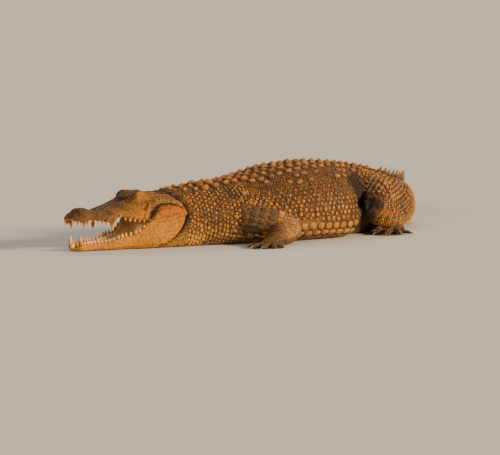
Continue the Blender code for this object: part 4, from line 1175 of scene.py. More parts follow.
def shells(group, start):
    # vertices and faces of a set of scales
    form = group["form"]
    count, sides = len(group["spot"]), form["sides"]
    angle = np.arange(sides) * 2 * np.pi / sides
    size = group["size"]
    ids = np.arange(start, start + count)
    other = neighbours[ids]
    offset = allSpots[other] - group["spot"][:, None]
    x = np.einsum("ijk,ik->ij", offset, group["back"]) / size[:, :1]
    y = np.einsum("ijk,ik->ij", offset, group["side"]) / size[:, 1:2]
    apart = np.hypot(x, y) + 1e-9
    towards = np.arctan2(y, x)
    own = 1 / np.hypot(np.cos(towards) / size[:, :1], np.sin(towards) / size[:, 1:2])
    wayBack = np.einsum("ijk,ijk->ij", -offset, allBack[other])
    waySide = np.einsum("ijk,ijk->ij", -offset, allSide[other])
    turned = np.arctan2(waySide, wayBack)
    theirs = 1 / np.hypot(np.cos(turned) / allSize[other][:, :, 0], np.sin(turned) / allSize[other][:, :, 1])
    gap = np.linalg.norm(offset, axis=2) + 1e-9
    half = apart * own / (own + theirs)
    facing = np.einsum("ijk,ik->ij", allWays[other], group["way"]) > 0.2
    valid = facing & (gap > 1e-6)
    slant = np.cos(angle - towards[:, :, None])
    bound = half[:, :, None] / np.maximum(slant, 0.08)  # as far as the line half way to each neighbour
    bound = np.where(valid[:, :, None] & (slant > 0.08), bound, 9.0)
    power = form["power"]
    cap = (np.abs(np.cos(angle)) ** power + np.abs(np.sin(angle)) ** power) ** (-1 / power)
    outline = np.minimum(cap, bound.min(1)) if form.get("tile", True) else cap
    outline = np.broadcast_to(outline, (count, sides)) * (1 - form["gap"])
    ringsX, ringsY, ringsZ, crowns = [], [], [], []
    for share, high in form["rings"]:
        rx, ry = share * outline * np.cos(angle), share * outline * np.sin(angle)
        ridge = (0.30 + 0.70 * smooth(-0.95, 0.35, rx)) * (1 - smooth(0.45, 1.02, rx))
        ridge = ridge * np.exp(-(np.abs(ry) / 0.30) ** 1.4) * (1 - share ** 5)
        up = high + form["keel"] * ridge
        ringsX.append(rx + form.get("lean", 0) * max(high, 0))
        ringsY.append(ry)
        ringsZ.append(np.broadcast_to(up, rx.shape))
        crowns.append(np.clip(up, 0, 1) if form["keel"] else np.full(rx.shape, np.clip(high, 0, 1)))
    last, keel = form["rings"][-1][1], form["keel"]
    ringsX.append(np.full((count, 1), form.get("lean", 0) * last + (0.12 if keel > 0.3 else 0)))
    ringsY.append(np.zeros((count, 1)))
    ringsZ.append(np.full((count, 1), last + keel if keel else max(last, 1.0)))
    crowns.append(np.ones((count, 1)))
    x, y, up = (np.hstack(part) for part in (ringsX, ringsY, ringsZ))
    crown = np.hstack(crowns) * form.get("crown", 1.0)
    flatPlace = (group["spot"][:, None] + (x * size[:, :1])[:, :, None] * group["back"][:, None]
                 + (y * size[:, 1:2])[:, :, None] * group["side"][:, None])
    if form.get("follow"):
        flat = flatPlace.reshape(-1, 3)
        moved, _, found = settled(flat, 0.012)
        flatPlace = np.where(found[:, None], moved, flat).reshape(flatPlace.shape)
    place = flatPlace + (up * size[:, 2:3])[:, :, None] * group["way"][:, None]
    place[:, :, 2] = np.maximum(place[:, :, 2], 0.0004)
    per = x.shape[1]
    levels = len(form["rings"])
    faces = [tuple(range(sides))[::-1]]
    for level in range(levels - 1):
        for k in range(sides):
            n = (k + 1) % sides
            faces.append((level * sides + k, level * sides + n, (level + 1) * sides + n, (level + 1) * sides + k))
    for k in range(sides):
        faces.append(((levels - 1) * sides + k, (levels - 1) * sides + (k + 1) % sides, levels * sides))
    patch = 0.0015 * np.stack([x, y], 2) / 1.3
    tone = np.repeat(random.random(count), per) * form.get("tone", 1.0)
    return place.reshape(-1, 3), faces, per, crown.ravel(), tone, patch.reshape(-1, 2), group["root"]


def addValues(piece, name, values):
    layer = piece.data.attributes.new(name, "FLOAT", "POINT")
    layer.data.foreach_set("value", np.asarray(values, np.float32))


coatPieces = {}
start = 0
for group in coat:
    coatPieces.setdefault(group["piece"], []).append((group, start))
    start += len(group["spot"])
made = {}
for name, members in coatPieces.items():
    allFaces, columns, base = [], [], 0
    for group, first in members:
        place, faces, per, crown, tone, patch, root = shells(group, first)
        count = len(group["spot"])
        for face in faces:
            allFaces += (np.arange(count)[:, None] * per + face + base).tolist()
        base += len(place)
        repeated = (np.repeat(rows, per, axis=0) for rows in (root, group["spot"], group["way"]))
        columns.append((place, crown, tone, patch, *repeated))
    places, crowns, tones, patches, roots, spots, ways = (np.concatenate(column) for column in zip(*columns))
    piece = meshPiece(name, places, allFaces)
    low, high = roots.min(0), roots.max(0)
    unwrapped = 0.01 + 0.98 * (roots - low) / (high - low) + patches
    layer = piece.data.uv_layers.new(name="OFBake")
    corners = np.empty(len(piece.data.loops), int)
    piece.data.loops.foreach_get("vertex_index", corners)
    layer.data.foreach_set("uv", unwrapped[corners].ravel())
    addValues(piece, "crown", crowns)
    addValues(piece, "tone", tones)
    made[name] = (piece, spots, ways)
    triangles = sum(len(polygon.vertices) - 2 for polygon in piece.data.polygons)
    print(name, triangles, "triangles")


# teeth: one is modelled, then copied along the rims of both jaws
teeth = {"sides": 10, "steps": ((0.20, 1.10), (0.22, 0.92), (0.20, 0.84), (0.18, 0.74), (0.12, 0.62)),
         "tip": 0.08, "curve": 0.16, "sunk": 0.007, "inward": 0.0012, "slim": 0.88,
         "lean": (-0.10, 0.12), "bend": (0.75, -0.35)}  # ahead and out


def modelTooth():
    # root at the origin, tip one unit up, one unit thick at the root
    bpy.ops.object.select_all(action="DESELECT")
    bpy.ops.mesh.primitive_circle_add(vertices=teeth["sides"], radius=1, fill_type="NGON")
    piece = bpy.context.object
    bpy.ops.object.mode_set(mode="EDIT")
    bpy.ops.mesh.select_all(action="SELECT")
    for rise, thin in teeth["steps"]:
        bpy.ops.mesh.extrude_region_move(TRANSFORM_OT_translate={"value": (0, 0, rise)})
        bpy.ops.transform.resize(value=(thin, thin, 1))
    bpy.ops.mesh.extrude_region_move(TRANSFORM_OT_translate={"value": (0, 0, teeth["tip"])})
    bpy.ops.mesh.merge(type="CENTER")
    bpy.ops.object.mode_set(mode="OBJECT")
    return facedOut(piece)


tooth = modelTooth()
toothPoints = coords(tooth)
toothFaces = [tuple(polygon.vertices) for polygon in tooth.data.polygons]
bpy.data.objects.remove(tooth)


def toothRow(row, rim, width, sign):
    # the teeth of one jaw; sign: 1 when they stand, -1 when they hang
    points, rises = [], []
    lean, bend = teeth["lean"], teeth["bend"]
    for h, length, radius in row:
        for side in (1, -1):
            out = float(width(h)) * headLength - radius - teeth["inward"]
            root = np.array([h * headLength, side * out, float(rim(h))])
            root[2] -= sign * teeth["sunk"]
            tall = length + teeth["sunk"]
            up = np.array([lean[0], lean[1] * side, sign])
            up /= np.linalg.norm(up)
            ahead = np.cross(up, (0, 1.0, 0))
            ahead /= np.linalg.norm(ahead)
            across = np.cross(ahead, up)
            x, y, t = toothPoints.T
            bow = teeth["curve"] * length * (t * t - 0.15 * t)
            points.append(root + np.outer(t * tall, up) + np.outer(x * radius * teeth["slim"], ahead)
                          + np.outer(y * radius, across) + np.outer(bow, (bend[0], bend[1] * side, 0)))
            rises.append(t)
    return points, rises


ivory = []
for name, rim, width, sign in (("upperTeeth", head["lipLine"], head["lipWidth"], -1),
                               ("lowerTeeth", jawRim, jaw["width"], 1)):
    points, rises = toothRow(muzzle[name], rim, width, sign)
    faces = [tuple(corner + len(toothPoints) * k for corner in one) for k in range(len(points)) for one in toothFaces]
    piece = facedOut(meshPiece(name, np.vstack(points), faces))
    addValues(piece, "crown", np.concatenate(rises))
    addValues(piece, "tone", np.repeat(random.random(len(points)), len(toothPoints)))
    ivory.append(piece)
print("teeth")

# claws: three on each foot
claws = {"sides": 10, "length": 0.030, "sunk": 0.010, "thick": 0.0050, "thin": 0.0036,
         "rings": ((0, 1.0), (0.2, 1.0), (0.45, 0.86), (0.7, 0.62), (0.88, 0.34), (1.0, 0.08)),
         "rise": (0.0088, 0.0030, 0.0068)}  # height of the root, the hump and the drop to the tip
points, faces, rises = [], [], []
for limb in ("fore", "hind"):
    for side in (1, -1):
        for knuckle, way, length, _, clawed in toeLines(limb, side)[3]:
            if not clawed:
                continue
            across = np.cross((0, 0, 1), way)
            sides = claws["sides"]
            first = sum(len(part) for part in points)
            angle = np.arange(sides) * 2 * np.pi / sides
            for share, thick in claws["rings"]:
                centre = knuckle + way * (length - claws["sunk"] + claws["length"] * share)
                low, hump, drop = claws["rise"]
                centre[2] = low + hump * math.sin(math.pi * min(share * 1.1, 1)) - drop * share ** 1.7
                ring = (centre + thick * claws["thin"] * np.outer(np.cos(angle), across)
                        + thick * claws["thick"] * np.outer(np.sin(angle), (0, 0, 1)))
                ring[:, 2] = np.maximum(ring[:, 2], 0.0006)
                points.append(ring)
                rises.append(np.full(sides, share))
            for level in range(len(claws["rings"]) - 1):
                for k in range(sides):
                    n = (k + 1) % sides
                    a, b = first + level * sides, first + (level + 1) * sides
                    faces.append((a + k, a + n, b + n, b + k))
            faces.append(tuple(range(first, first + sides))[::-1])
            faces.append(tuple(range(first + (len(claws["rings"]) - 1) * sides, first + len(claws["rings"]) * sides)))
clawPiece = facedOut(meshPiece("claws", np.vstack(points), faces))
addValues(clawPiece, "crown", np.concatenate(rises))
print("claws")

# eyes: a ball in each socket, with its own sense of forward and up
eyePieces = []
for side, name in ((1, "leftEye"), (-1, "rightEye")):
    bpy.ops.object.select_all(action="DESELECT")
    bpy.ops.mesh.primitive_ico_sphere_add(subdivisions=5, radius=eyeRadius, location=(0, 0, 0))
    piece = bpy.context.object
    piece.name = name
    local = coords(piece)
    _, ahead, rise = eyeAxes(side)
    for label, way in (("ahead", ahead), ("rise", rise)):
        addValues(piece, label, local @ way / eyeRadius)
    setCoords(piece, local + eyes[side])
    eyePieces.append(piece)
print("eyes")

# the tongue lies in the floor of the mouth
tongueForm = {"plan": curve((0.22, 0.30), (0.27, 0.80), (0.37, 1.0), (0.60, 1.0), (0.68, 0.9)),
              "from": 0.222, "to": 0.665, "share": 0.62, "thick": (0.009, 0.004),
              "half": [(0, 0), (0.6, 0), (0.97, 0.25), (0.93, 0.62), (0.6, 0.93), (0.25, 1.0), (0, 0.90)]}
half = spline(tongueForm["half"], 4)
across, up = np.vstack([half, (half * (-1, 1))[::-1][1:-1]]).T
rings = []
for h in np.linspace(tongueForm["from"], tongueForm["to"], 46):
    plan = float(tongueForm["plan"](h))
    room = float(jaw["width"](h)) * headLength
    inner = tongueForm["share"] * max(room - 0.018, 0.45 * float(jaw["width"](h)) * headLength)
    high, least = tongueForm["thick"]
    width, floor, thick = (inner - 0.004) * plan, float(jaw["floor"](h)) - 0.0012, high * plan + least
    rings.append(np.stack([np.full(len(up), h * headLength), across * width, floor + up * thick], 1))
tongue = loft("tonguePad", rings)
place = coords(tongue)
top = smooth(0.3, 0.9, normalsOf(tongue)[:, 2])
place[:, 2] += top * (0.0007 * lumps(place, 0.012, 31) + 0.0004 * lumps(place, 0.005, 32))
setCoords(tongue, place)
applied(tongue, "SUBSURF", levels=1, render_levels=1)
print("tongue")

# fewer faces where the skin is plain, all of them kept on the face
u, v, z = coords(skin).T
keep = np.where((u < 0.38) & ((z > 0.10) | (u > 0.28)), 0.8, 0.0)
keep = np.where(eyeDistance(coords(skin)) < 0.03, 1.0, keep)
kept = grouped(skin, "kept", keep)
triangles = sum(len(polygon.vertices) - 2 for polygon in skin.data.polygons)
applied(skin, "DECIMATE", decimate_type="COLLAPSE", ratio=skinForm["triangles"] / triangles, vertex_group=kept,
        vertex_group_factor=0.5, invert_vertex_group=True, use_collapse_triangulate=True)
skin.vertex_groups.clear()
print("skin", len(skin.data.polygons), "triangles")


def markings(points, normals):
    # where the hide is pale, golden, orange, dusty or darker, and where light is painted into its colour: painted
    # highlights, painted shade and near-black painted deep shade
    u, v, z = points.T
    av, nz = np.abs(v), normals[:, 2]
    patches = lumps(points, 0.11, 41)
    fine = lumps(points, 0.035, 42)
    front = 1 - smooth(-0.004, 0.006, behindHead(points))
    front = front * (u < 0.50)
    onLimb = smooth(0.000, 0.012, av - bodyHalf(u, z)) * (u > 0.55) * (u < 1.66) * (z < 0.19)
    level = 0.070 + 0.016 * patches + 0.012 * fine
    level = np.where(u < 0.70, 0.050 + 0.012 * patches, level)
    level = np.where(u > 1.45, 0.030 + 0.01 * patches, level)
    pale = (1 - smooth(level - 0.022, level + 0.030, z)) * (1 - front) * (1 - 0.8 * onLimb)
    pale = np.maximum(pale, smooth(0.5, 0.9, -nz) * (z < 0.09) * (1 - front) * (u < 1.7))
    pale = np.maximum(pale, 0.75 * front * (1 - smooth(0.010, 0.022, z)))
    gold = front * (1 - smooth(0.135, 0.185, z + 0.006 * fine)) * (1 - 0.55 * smooth(0.16, 0.06, u) * (z > 0.1))
    # a painted highlight along the brow ridges, mixed into the gold
    brow = front * np.exp(-((u - 0.278) / 0.030) ** 2) * smooth(0.050, 0.058, av) * smooth(0.185, 0.195, z)
    gold = np.maximum(gold, 0.7 * brow)
    # orange on the cheek's bulge behind the mouth corner, partly a painted highlight where the low light strikes the
    # bulge
    ember = front * smooth(0.330, 0.365, u) * smooth(0.098, 0.125, z) * (1 - smooth(0.150, 0.168, z)) * (av > 0.06)
    # a painted highlight along the lower thigh by the knee, put into the same orange mark
    paintedThighHighlight = np.exp(-((z - 0.088) / 0.016) ** 2) * smooth(1.32, 1.345, u)
    paintedThighHighlight = paintedThighHighlight * smooth(1.50, 1.46, u) * smooth(0.17, 0.20, av)
    ember = np.maximum(ember, 0.9 * paintedThighHighlight)
    # painted shade on the upward-facing top of the head, fading towards the rear
    dusk = front * smooth(0.25, 0.75, nz) * smooth(0.10, 0.13, z)
    dusk = dusk * (0.75 - 0.45 * smooth(0.12, 0.34, u)) * (1 + 0.25 * fine)
    # painted shade over the snout tip, stronger on its upper part
    dusk = np.maximum(dusk, front * smooth(0.125, 0.080, u) * (0.50 + 0.30 * smooth(0.118, 0.140, z)) * (z > 0.1))
    # darker in the valley between the brows
    dusk = np.maximum(dusk, 0.85 * front * smooth(0.062, 0.050, av) * smooth(0.165, 0.180, z) * smooth(0.22, 0.24, u))
    # painted shade in the crease along the rear edge of the head
    crease = (u > 0.36) * smooth(0.03, 0.06, av) * np.exp(-((behindHead(points) - 0.004) / 0.007) ** 2)
    crease = crease * smooth(0.222, 0.195, z)
    # painted shade in the hollow behind the mouth corner and in the crease under the cheek bar; it also gives the deep
    # shade there
    hollow = stroke(u, z, [(0.308, 0.110, 1, 0.006), (0.317, 0.134, 1, 0.011), (0.330, 0.150, 1, 0.011),
                           (0.350, 0.167, 1, 0.005), (0.390, 0.170, 1, 0.003), (0.440, 0.155, 0.8, 0.003)])
    hollow = np.clip(1.5 * hollow, 0, 1)
    dusk = np.maximum.reduce([dusk, 0.85 * crease, 0.95 * front * hollow * (av > 0.06)])
    lip = head["lipLine"](u / headLength)
    # painted shade over the upper side of the snout, above the lip
    ridge = front * smooth(0.014, 0.036, z - lip + 0.004 * fine) * smooth(0.28, 0.20, u)
    dusk = np.maximum.reduce([dusk, (0.84 + 0.2 * fine) * ridge, 0.62 * front * smooth(0.29, 0.20, u) * (z > lip)])
    # painted shade in front of the shoulder
    shoulder = np.exp(-((u - 0.668) / 0.030) ** 2 - ((z - 0.200) / 0.036) ** 2)
    # painted shade in the groin and over the front of the thigh, stronger on the left side and weaker where the skin
    # faces up
    rear = u - 1.352 - 1.1 * np.maximum(z - 0.17, 0) - 0.022 * fine
    groin = smooth(1.172, 1.236, u + 0.014 * fine) * (1 - smooth(-0.025, 0.035, rear)) * smooth(0.09, 0.12, av)
    groin = groin * smooth(0.264, 0.216, z + 0.008 * fine) * (1 - 0.8 * paintedThighHighlight) * np.where(v > 0, 1, 0.55)
    groin = groin * (1 - 0.50 * smooth(0.40, 0.85, nz))
    # near-black painted deep shade in the hollow behind the mouth corner and in the lower groin, stronger on the left
    # side
    deep = np.maximum(front * hollow * (av > 0.06), 0.82 * groin * np.where(v > 0, 1, 0.4) * smooth(0.100, 0.125, z)
                      * smooth(1.385, 1.340, u - 0.5 * np.maximum(z - 0.17, 0) - 0.014 * fine))
    # painted shade over the upper arm; the same mask carries the painted highlight on its plates' edges
    further = u - 0.6 * np.maximum(z - 0.07, 0)
    upperArm = 1.35 * onLimb * (u > 0.66) * smooth(0.785, 0.745, further) * smooth(0.030, 0.05, z)
    # the painted shade of the shoulder, groin and upper arm, and the hind limbs a little darker all over
    dusk = np.maximum.reduce([dusk, 0.85 * shoulder * (0.8 + 0.3 * fine), 0.97 * groin, 0.94 * upperArm,
                              0.10 * onLimb * (u > 1.3)])
    dust = onLimb * smooth(0.750, 0.785, further) * (u < 1.0) + 0.35 * onLimb * (u > 1.3) * smooth(0.11, 0.05, z)
    dust = np.maximum(dust, 0.4 * onLimb * (z < 0.03))
    # painted shade on the limbs near the floor
    dusk = np.maximum(dusk, 0.68 * onLimb * smooth(0.040, 0.020, z))
    # darker over the base of the tail
    dusk = np.maximum(dusk, (0.50 + 0.3 * fine) * smooth(1.57, 1.67, u) * smooth(2.00, 1.75, u))
    marks = {"pale": pale, "gold": gold, "ember": ember, "dusk": dusk, "dust": dust, "deep": deep, "rim": upperArm}
    return {name: np.clip(values, 0, 1) for name, values in marks.items()}


place, way = coords(skin), normalsOf(skin)
marks = markings(place, way)
eyeAway = eyeDistance(place)
addValues(skin, "crown", np.maximum(np.where(eyeAway < eyeRadius + 0.004, 0.55, 0.0), marks["gold"] * 0.45))
addValues(skin, "tone", 0.5 + 0.4 * lumps(place, 0.02, 43))
addValues(skin, "lining", mouthLining(place, way).astype(float))
lid = 1 - smooth(eyeRadius - 0.0004, eyeRadius + 0.0014, eyeAway)
addValues(skin, "lid", np.where(eyeAway < eyeRadius + 0.0016, lid, 0.0))
for name, values in marks.items():
    addValues(skin, name, values)
for piece, spots, ways in made.values():
    for mark, values in markings(spots, ways).items():
        addValues(piece, mark, values)
print("markings")

# everything is bent along the spine, and its faces turned outwards again
finished = [skin, tongue, clawPiece, *ivory, *eyePieces, *(piece for piece, _, _ in made.values())]
for piece in finished:
    setCoords(piece, laid(coords(piece)))
    piece.data.flip_normals()
    pick(piece)
    bpy.ops.object.shade_smooth()
print("bent")


# the materials, made of noise, of places on the model and of the values that the pieces carry
class Wire:
    # an output of a shader node, so that sums can be written as expressions
    def __init__(self, finish, socket):
        self.finish, self.socket = finish, socket

    def math(self, operation, *others):
        return self.finish.node("ShaderNodeMath", {"operation": operation}, dict(enumerate((self, *others))))

    def __add__(self, other):
        return self.math("ADD", other)

    def __mul__(self, other):
        return self.math("MULTIPLY", other)

    def __sub__(self, other):
        return self.math("SUBTRACT", other)

    def __truediv__(self, other):
        return self.math("DIVIDE", other)

    def __pow__(self, other):
        return self.math("POWER", other)

    def __rsub__(self, other):
        return self.finish.node("ShaderNodeMath", {"operation": "SUBTRACT"}, {0: other, 1: self})

    __radd__, __rmul__ = __add__, __mul__


class Finish:
    # one material, put together node by node
    def __init__(self, name, **constants):
        self.material = bpy.data.materials.new(name)
        self.material.use_nodes = True
        self.nodes, self.links = self.material.node_tree.nodes, self.material.node_tree.links
        self.nodes.clear()
        self.shader = self.nodes.new("ShaderNodeBsdfPrincipled")
        end = self.nodes.new("ShaderNodeOutputMaterial")
        self.links.new(self.shader.outputs[0], end.inputs[0])
        for socket, value in constants.items():
            self.shader.inputs[socket.replace("_", " ")].default_value = value

    def node(self, kind, settings=None, sockets=None, output=0):
        made = self.nodes.new(kind)
        for name, value in (settings or {}).items():
            if name == "stops":
                while len(made.color_ramp.elements) < len(value):
                    made.color_ramp.elements.new(0.5)
                for element, (position, colour) in zip(made.color_ramp.elements, value):
                    element.position, element.color = position, (*colour, 1)
            else:
                setattr(made, name, value)
        for socket, value in (sockets or {}).items():
            self.join(value, made.inputs[socket])
        return Wire(self, made.outputs[output])

    def join(self, value, socket):
        if isinstance(value, Wire):
            self.links.new(value.socket, socket)
        elif isinstance(value, tuple) and len(value) == 3 and socket.type == "RGBA":
            socket.default_value = (*value, 1)
        else:
            socket.default_value = value

    def put(self, **values):
        for socket, value in values.items():
            self.join(value, self.shader.inputs[socket.replace("_", " ")])

    def place(self, stretch=None):
        where = self.node("ShaderNodeTexCoord", output="Object")
        if stretch:
            where = self.node("ShaderNodeMapping", sockets={"Vector": where, "Scale": stretch})
        return where

    def value(self, name):
        return self.node("ShaderNodeAttribute", {"attribute_name": name}, output="Fac")

    def noise(self, where, size, detail=3, rough=0.55):
        return self.node("ShaderNodeTexNoise", None,
                         {"Vector": where, "Scale": 1 / size, "Detail": detail, "Roughness": rough})

    def cells(self, where, size, feature="DISTANCE_TO_EDGE", output="Distance"):
        return self.node("ShaderNodeTexVoronoi", {"feature": feature}, {"Vector": where, "Scale": 1 / size}, output)

    def range(self, value, low, high, toLow=0.0, toHigh=1.0):
        return self.node("ShaderNodeMapRange", {"interpolation_type": "SMOOTHSTEP"},
                         {"Value": value, "From Min": low, "From Max": high, "To Min": toLow, "To Max": toHigh})

    def mix(self, a, b, factor):
        return self.node("ShaderNodeMix", {"data_type": "RGBA", "clamp_factor": True}, {0: factor, 6: a, 7: b}, 2)

    def bump(self, height, strength, distance, under=None):
        sockets = {"Height": height, "Strength": strength, "Distance": distance}
        if under:
            sockets["Normal"] = under
        return self.node("ShaderNodeBump", None, sockets)


hideLook = {
    "groove": (0.032, 0.0145, 0.005), "grooveLight": (0.094, 0.040, 0.012),
    "tan": (0.150, 0.058, 0.012), "tanLight": (0.49, 0.204, 0.032),
    "paleGroove": (0.036, 0.014, 0.003), "pale": (0.73, 0.350, 0.055),
    "goldDeep": (0.25, 0.082, 0.007), "gold": (0.69, 0.268, 0.013),
    # the orange pair: the cheek's orange, partly a painted highlight, and a painted highlight on the lower thigh
    "orangeAndHighlightDeep": (0.19, 0.040, 0.002), "ember": (0.54, 0.140, 0.004),
    # rim: a painted highlight for the edges of the upper arm's plates; the near-black colour after speckle is painted
    # deep shade
    "rim": (0.23, 0.095, 0.027), "speckle": (0.075, 0.034, 0.013), "deep": (0.010, 0.0055, 0.003),
    # darker tone and painted shade, from the grooves to the crowns
    "darkAndPaintedShadeGroove": (0.007, 0.0045, 0.0025), "dusk": (0.082, 0.049, 0.028),
    "dustGroove": (0.085, 0.036, 0.013), "dust": (0.52, 0.235, 0.070),
    "liningDeep": (0.66, 0.400, 0.130), "lining": (0.90, 0.660, 0.300),
    "lid": (0.050, 0.034, 0.014), "crack": (0.02, 0.014, 0.008),
}
boneLook = {
    "teeth": ((0.10, (0.22, 0.055, 0.005)), (0.40, (0.52, 0.165, 0.013)),
              (0.72, (0.70, 0.30, 0.040)), (1.00, (0.80, 0.47, 0.110))),  # from the gum to the tip
    "toothStain": (0.30, 0.17, 0.07), "clawRoot": (0.030, 0.024, 0.019), "clawTip": (0.27, 0.20, 0.13),
}
softLook = {
    "irisDark": (0.075, 0.060, 0.018), "iris": (0.36, 0.29, 0.09), "pupil": (0.004, 0.004, 0.004),
    "whiteDark": (0.10, 0.070, 0.035), "white": (0.22, 0.15, 0.08),
    "tongueDark": (0.48, 0.28, 0.11), "tongue": (0.78, 0.54, 0.25), "buds": (0.84, 0.66, 0.38),
}


def hideFinish(name, covered):
    look = hideLook
    fin = Finish(name, IOR=1.45, Specular_IOR_Level=0.28)
    where = fin.place()
    broad, mottle, fine = fin.noise(where, 0.16, 2), fin.noise(where, 0.022, 4), fin.noise(where, 0.004, 5, 0.65)
    crown, tone = fin.value("crown"), fin.value("tone")
    top = fin.range(crown + (mottle - 0.5) * 0.35, 0.02, 0.72)
    light = fin.range(tone * 0.55 + mottle * 0.75 + fine * 0.35 + broad * 0.4, 0.55, 1.35)
    grooves = fin.mix(look["groove"], look["grooveLight"], fin.range(mottle + fine * 0.4, 0.55, 0.95))
    tan = fin.mix(look["tan"], look["tanLight"], light)
    colour = fin.mix(grooves, tan, top)
    pale = fin.mix(look["paleGroove"], look["pale"], top * 0.8 + light * 0.3)
    colour = fin.mix(colour, pale, fin.value("pale") * fin.range(mottle, 0.25, 0.60, 0.55, 1.0))
    gold = fin.mix(look["goldDeep"], look["gold"], light * 0.75 + top * 0.25)
    colour = fin.mix(colour, gold, fin.value("gold") * (0.66 + top * 0.20))
    speckle = fin.range(fin.noise(where, 0.0075, 4, 0.6), 0.53, 0.66)
    colour = fin.mix(colour, look["speckle"], fin.value("gold") * speckle * 0.42)
    # orange on the cheek, partly a painted highlight, and a painted highlight on the lower thigh
    ember = fin.mix(look["orangeAndHighlightDeep"], look["ember"], light * 0.7 + top * 0.3)
    colour = fin.mix(colour, ember, fin.value("ember") * fin.range(mottle, 0.30, 0.62, 0.50, 0.85))
    dust = fin.mix(look["dustGroove"], look["dust"], top * 0.55 + light * 0.45)
    colour = fin.mix(colour, dust, fin.value("dust") * 0.80)
    # darker tone and painted shade
    dusk = fin.mix(look["darkAndPaintedShadeGroove"], look["dusk"], top * 0.6 + light * 0.4)
    colour = fin.mix(colour, dusk, fin.value("dusk") * fin.range(mottle + crown * 0.25, 0.20, 0.65, 0.66, 1.0))
    # a painted highlight: orange along the low edges of the upper arm's plates
    colour = fin.mix(colour, look["rim"], fin.value("rim") * fin.range(crown, 0.12, 0.62, 0.80, 0.0))
    # near-black painted deep shade, with the noise and the scale crowns showing a little through it
    shade = fin.range(fine + mottle, 0.6, 1.3, 1.0, 0.7) * (1 - crown * 0.38)
    colour = fin.mix(colour, look["deep"], fin.value("deep") * shade)
    wet = 0.0
    if covered:
        lining = fin.value("lining")
        flesh = fin.mix(look["liningDeep"], look["lining"], fin.range(mottle + fine * 0.3, 0.45, 0.85))
        colour = fin.mix(colour, flesh, lining)
        colour = fin.mix(colour, look["lid"], fin.value("lid"))
        wet = lining
        fin.put(Coat_Weight=lining * 0.45, Coat_Roughness=0.25)
    cracks = fin.range(fin.cells(where, 0.0031), 0.0, 0.16)
    ripples = fin.noise(where, 0.0012, 3)
    height = cracks * 0.7 + fine * 0.8 + ripples * 0.25
    colour = fin.mix(fin.mix(colour, look["crack"], 0.55), colour, fin.range(cracks + fine * 0.5, 0.0, 0.75))
    rough = fin.range(mottle * 0.6 + fine * 0.4 - top * 0.15, 0.1, 0.7, 0.46, 0.80)
    fin.put(Base_Color=colour, Roughness=rough - wet * 0.30, Normal=fin.bump(height, 0.55, 0.0009))
    return fin.material


def toothFinish():
    fin = Finish("tooth ivory", Coat_Weight=0.15, Coat_Roughness=0.3)
    where = fin.place()
    streak = fin.noise(fin.place((1.0, 1.0, 0.16)), 0.0016, 4)
    stain = fin.noise(where, 0.007, 3)
    rise, tone = fin.value("crown"), fin.value("tone")
    along = rise + (stain - 0.5) * 0.5 + (streak - 0.5) * 0.25 + (tone - 0.5) * 0.35
    colour = fin.node("ShaderNodeValToRGB", {"stops": boneLook["teeth"]}, {0: along})
    colour = fin.mix(colour, boneLook["toothStain"], fin.range(streak, 0.58, 0.80) * 0.6)
    rough = fin.range(streak, 0.2, 0.8, 0.26, 0.50)
    fin.put(Base_Color=colour, Roughness=rough, Normal=fin.bump(streak, 0.35, 0.0004))
    return fin.material


def clawFinish():
    fin = Finish("claw horn")
    streak = fin.noise(fin.place((1.0, 1.0, 0.3)), 0.0022, 4)
    along = fin.value("crown") + (streak - 0.5) * 0.4
    colour = fin.mix(boneLook["clawRoot"], boneLook["clawTip"], fin.range(along, 0.35, 1.05))
    rough = fin.range(streak, 0.2, 0.8, 0.30, 0.55)
    fin.put(Base_Color=colour, Roughness=rough, Normal=fin.bump(streak, 0.4, 0.0005))
    return fin.material


def eyeFinish():
    fin = Finish("eye", Roughness=0.12, Coat_Weight=1.0, Coat_Roughness=0.03)
    ahead, rise = fin.value("ahead"), fin.value("rise")
    away = (ahead * ahead + rise * rise) ** 0.5
    pupil = ((ahead / 0.075) ** 2.0 + (rise / 0.50) ** 2.0) ** 0.5
    grain = fin.noise(fin.place(), 0.0007, 4)
    web = fin.noise(fin.place(), 0.0024, 3)
    spokes = fin.range(grain + web * 0.5 - away * 0.25, 0.35, 0.85)
    iris = fin.mix(softLook["irisDark"], softLook["iris"], spokes)
    white = fin.mix(softLook["whiteDark"], softLook["white"], web)
    colour = fin.mix(iris, white, fin.range(away, 0.60, 0.68))
    colour = fin.mix(softLook["pupil"], colour, fin.range(pupil, 0.85, 1.10))
    fin.put(Base_Color=colour, Normal=fin.bump(grain, 0.12, 0.0002))
    return fin.material


def tongueFinish():
    fin = Finish("tongue flesh", Coat_Weight=0.3, Coat_Roughness=0.3)
    where = fin.place()
    patch, buds = fin.noise(where, 0.018, 4), fin.cells(where, 0.0030, "F1")
    colour = fin.mix(softLook["tongueDark"], softLook["tongue"], fin.range(patch, 0.3, 0.7))
    colour = fin.mix(colour, softLook["buds"], fin.range(buds, 0.5, 0.1) * 0.4)
    rough = fin.range(patch, 0.2, 0.8, 0.38, 0.60)
    fin.put(Base_Color=colour, Roughness=rough, Normal=fin.bump(1 - buds, 0.5, 0.0008))
    return fin.material


def dressed(piece, material, replaced=()):
    piece.data.materials.clear()
    piece.data.materials.append(material)
    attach(piece, "root")
    if replaced:
        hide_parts(*replaced)


fleshNodes = [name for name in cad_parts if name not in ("eye_left", "eye_right", "tongue")]
dressed(skin, hideFinish("hide of the skin", True), fleshNodes)
scaleFinish = hideFinish("hide of the scales", False)
for piece, *_ in made.values():
    dressed(piece, scaleFinish, ())
dressed(tongue, tongueFinish(), ["tongue"])
eyeLook = eyeFinish()
for piece, node in zip(eyePieces, ("eye_left", "eye_right")):
    dressed(piece, eyeLook, [node])
toothLook = toothFinish()
for piece in ivory:
    dressed(piece, toothLook)
dressed(clawPiece, clawFinish())
print("finishes")

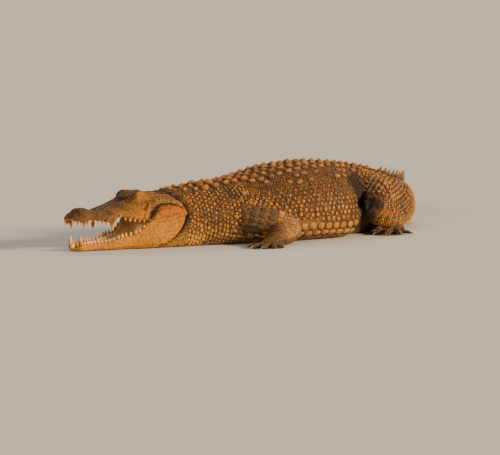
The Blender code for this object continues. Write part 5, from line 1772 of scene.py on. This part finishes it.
# the studio: a plain pale floor, a warm low key light and a wide soft fill
studio = {"floor": 340, "pale": (0.62, 0.60, 0.57), "middle": (-0.15, -0.30, 0.10), "away": 6.0,
          "key": {"turn": 28, "rise": 17, "spread": 9.4, "power": 6.7, "colour": (1.0, 0.79, 0.52)},
          "fill": {"turn": -70, "rise": 14, "spread": 14.0, "power": 1.5, "colour": (1.0, 0.87, 0.70)},
          "rim": {"turn": 130, "rise": 40, "spread": 28.0, "power": 0.87, "colour": (1.0, 0.90, 0.76)},
          "sky": (0.93, 0.91, 0.88), "skyPower": 0.28}
bpy.ops.object.select_all(action="DESELECT")
bpy.ops.mesh.primitive_plane_add(size=studio["floor"], location=(0, 0, 0))
floor = bpy.context.object
floor.name = "studioFloor"
floorLook = Finish("pale floor")
grain = floorLook.noise(floorLook.place(), 0.03, 4)
shade = studio["pale"]
floorLook.put(Base_Color=floorLook.mix(tuple(0.97 * part for part in shade), shade, grain),
              Roughness=floorLook.range(grain, 0.2, 0.8, 0.75, 0.85))
floor.data.materials.append(floorLook.material)


def aimed(turn, rise, away, middle):
    # a place round the middle, and the rotation that looks back at it
    a, e = math.radians(turn), math.radians(rise)
    back = Vector((math.sin(a) * math.cos(e), -math.cos(a) * math.cos(e), math.sin(e)))
    return Vector(middle) + back * away, (math.pi / 2 - e, 0, a)


for name in ("key", "fill", "rim"):
    values = studio[name]
    light = bpy.data.lights.new(name, "SUN")
    light.angle, light.energy, light.color = math.radians(values["spread"]), values["power"], values["colour"]
    lamp = placed(name, light)
    lamp.location, lamp.rotation_euler = aimed(values["turn"], values["rise"], studio["away"], studio["middle"])
world = bpy.data.worlds.new("studio")
world.use_nodes = True
sky = world.node_tree.nodes["Background"]
sky.inputs[0].default_value, sky.inputs[1].default_value = (*studio["sky"], 1), studio["skyPower"]
bpy.context.scene.world = world

view = {"turn": -46, "rise": 4.6, "away": 15, "aim": (-0.305, -0.411, 0.046), "lens": 278.6}
lens = bpy.data.cameras.new("camera")
lens.lens, lens.sensor_width, lens.clip_start, lens.clip_end = view["lens"], 36, 0.1, 400
camera = placed("camera", lens)
camera.location, camera.rotation_euler = aimed(view["turn"], view["rise"], view["away"], view["aim"])
bpy.context.scene.camera = camera
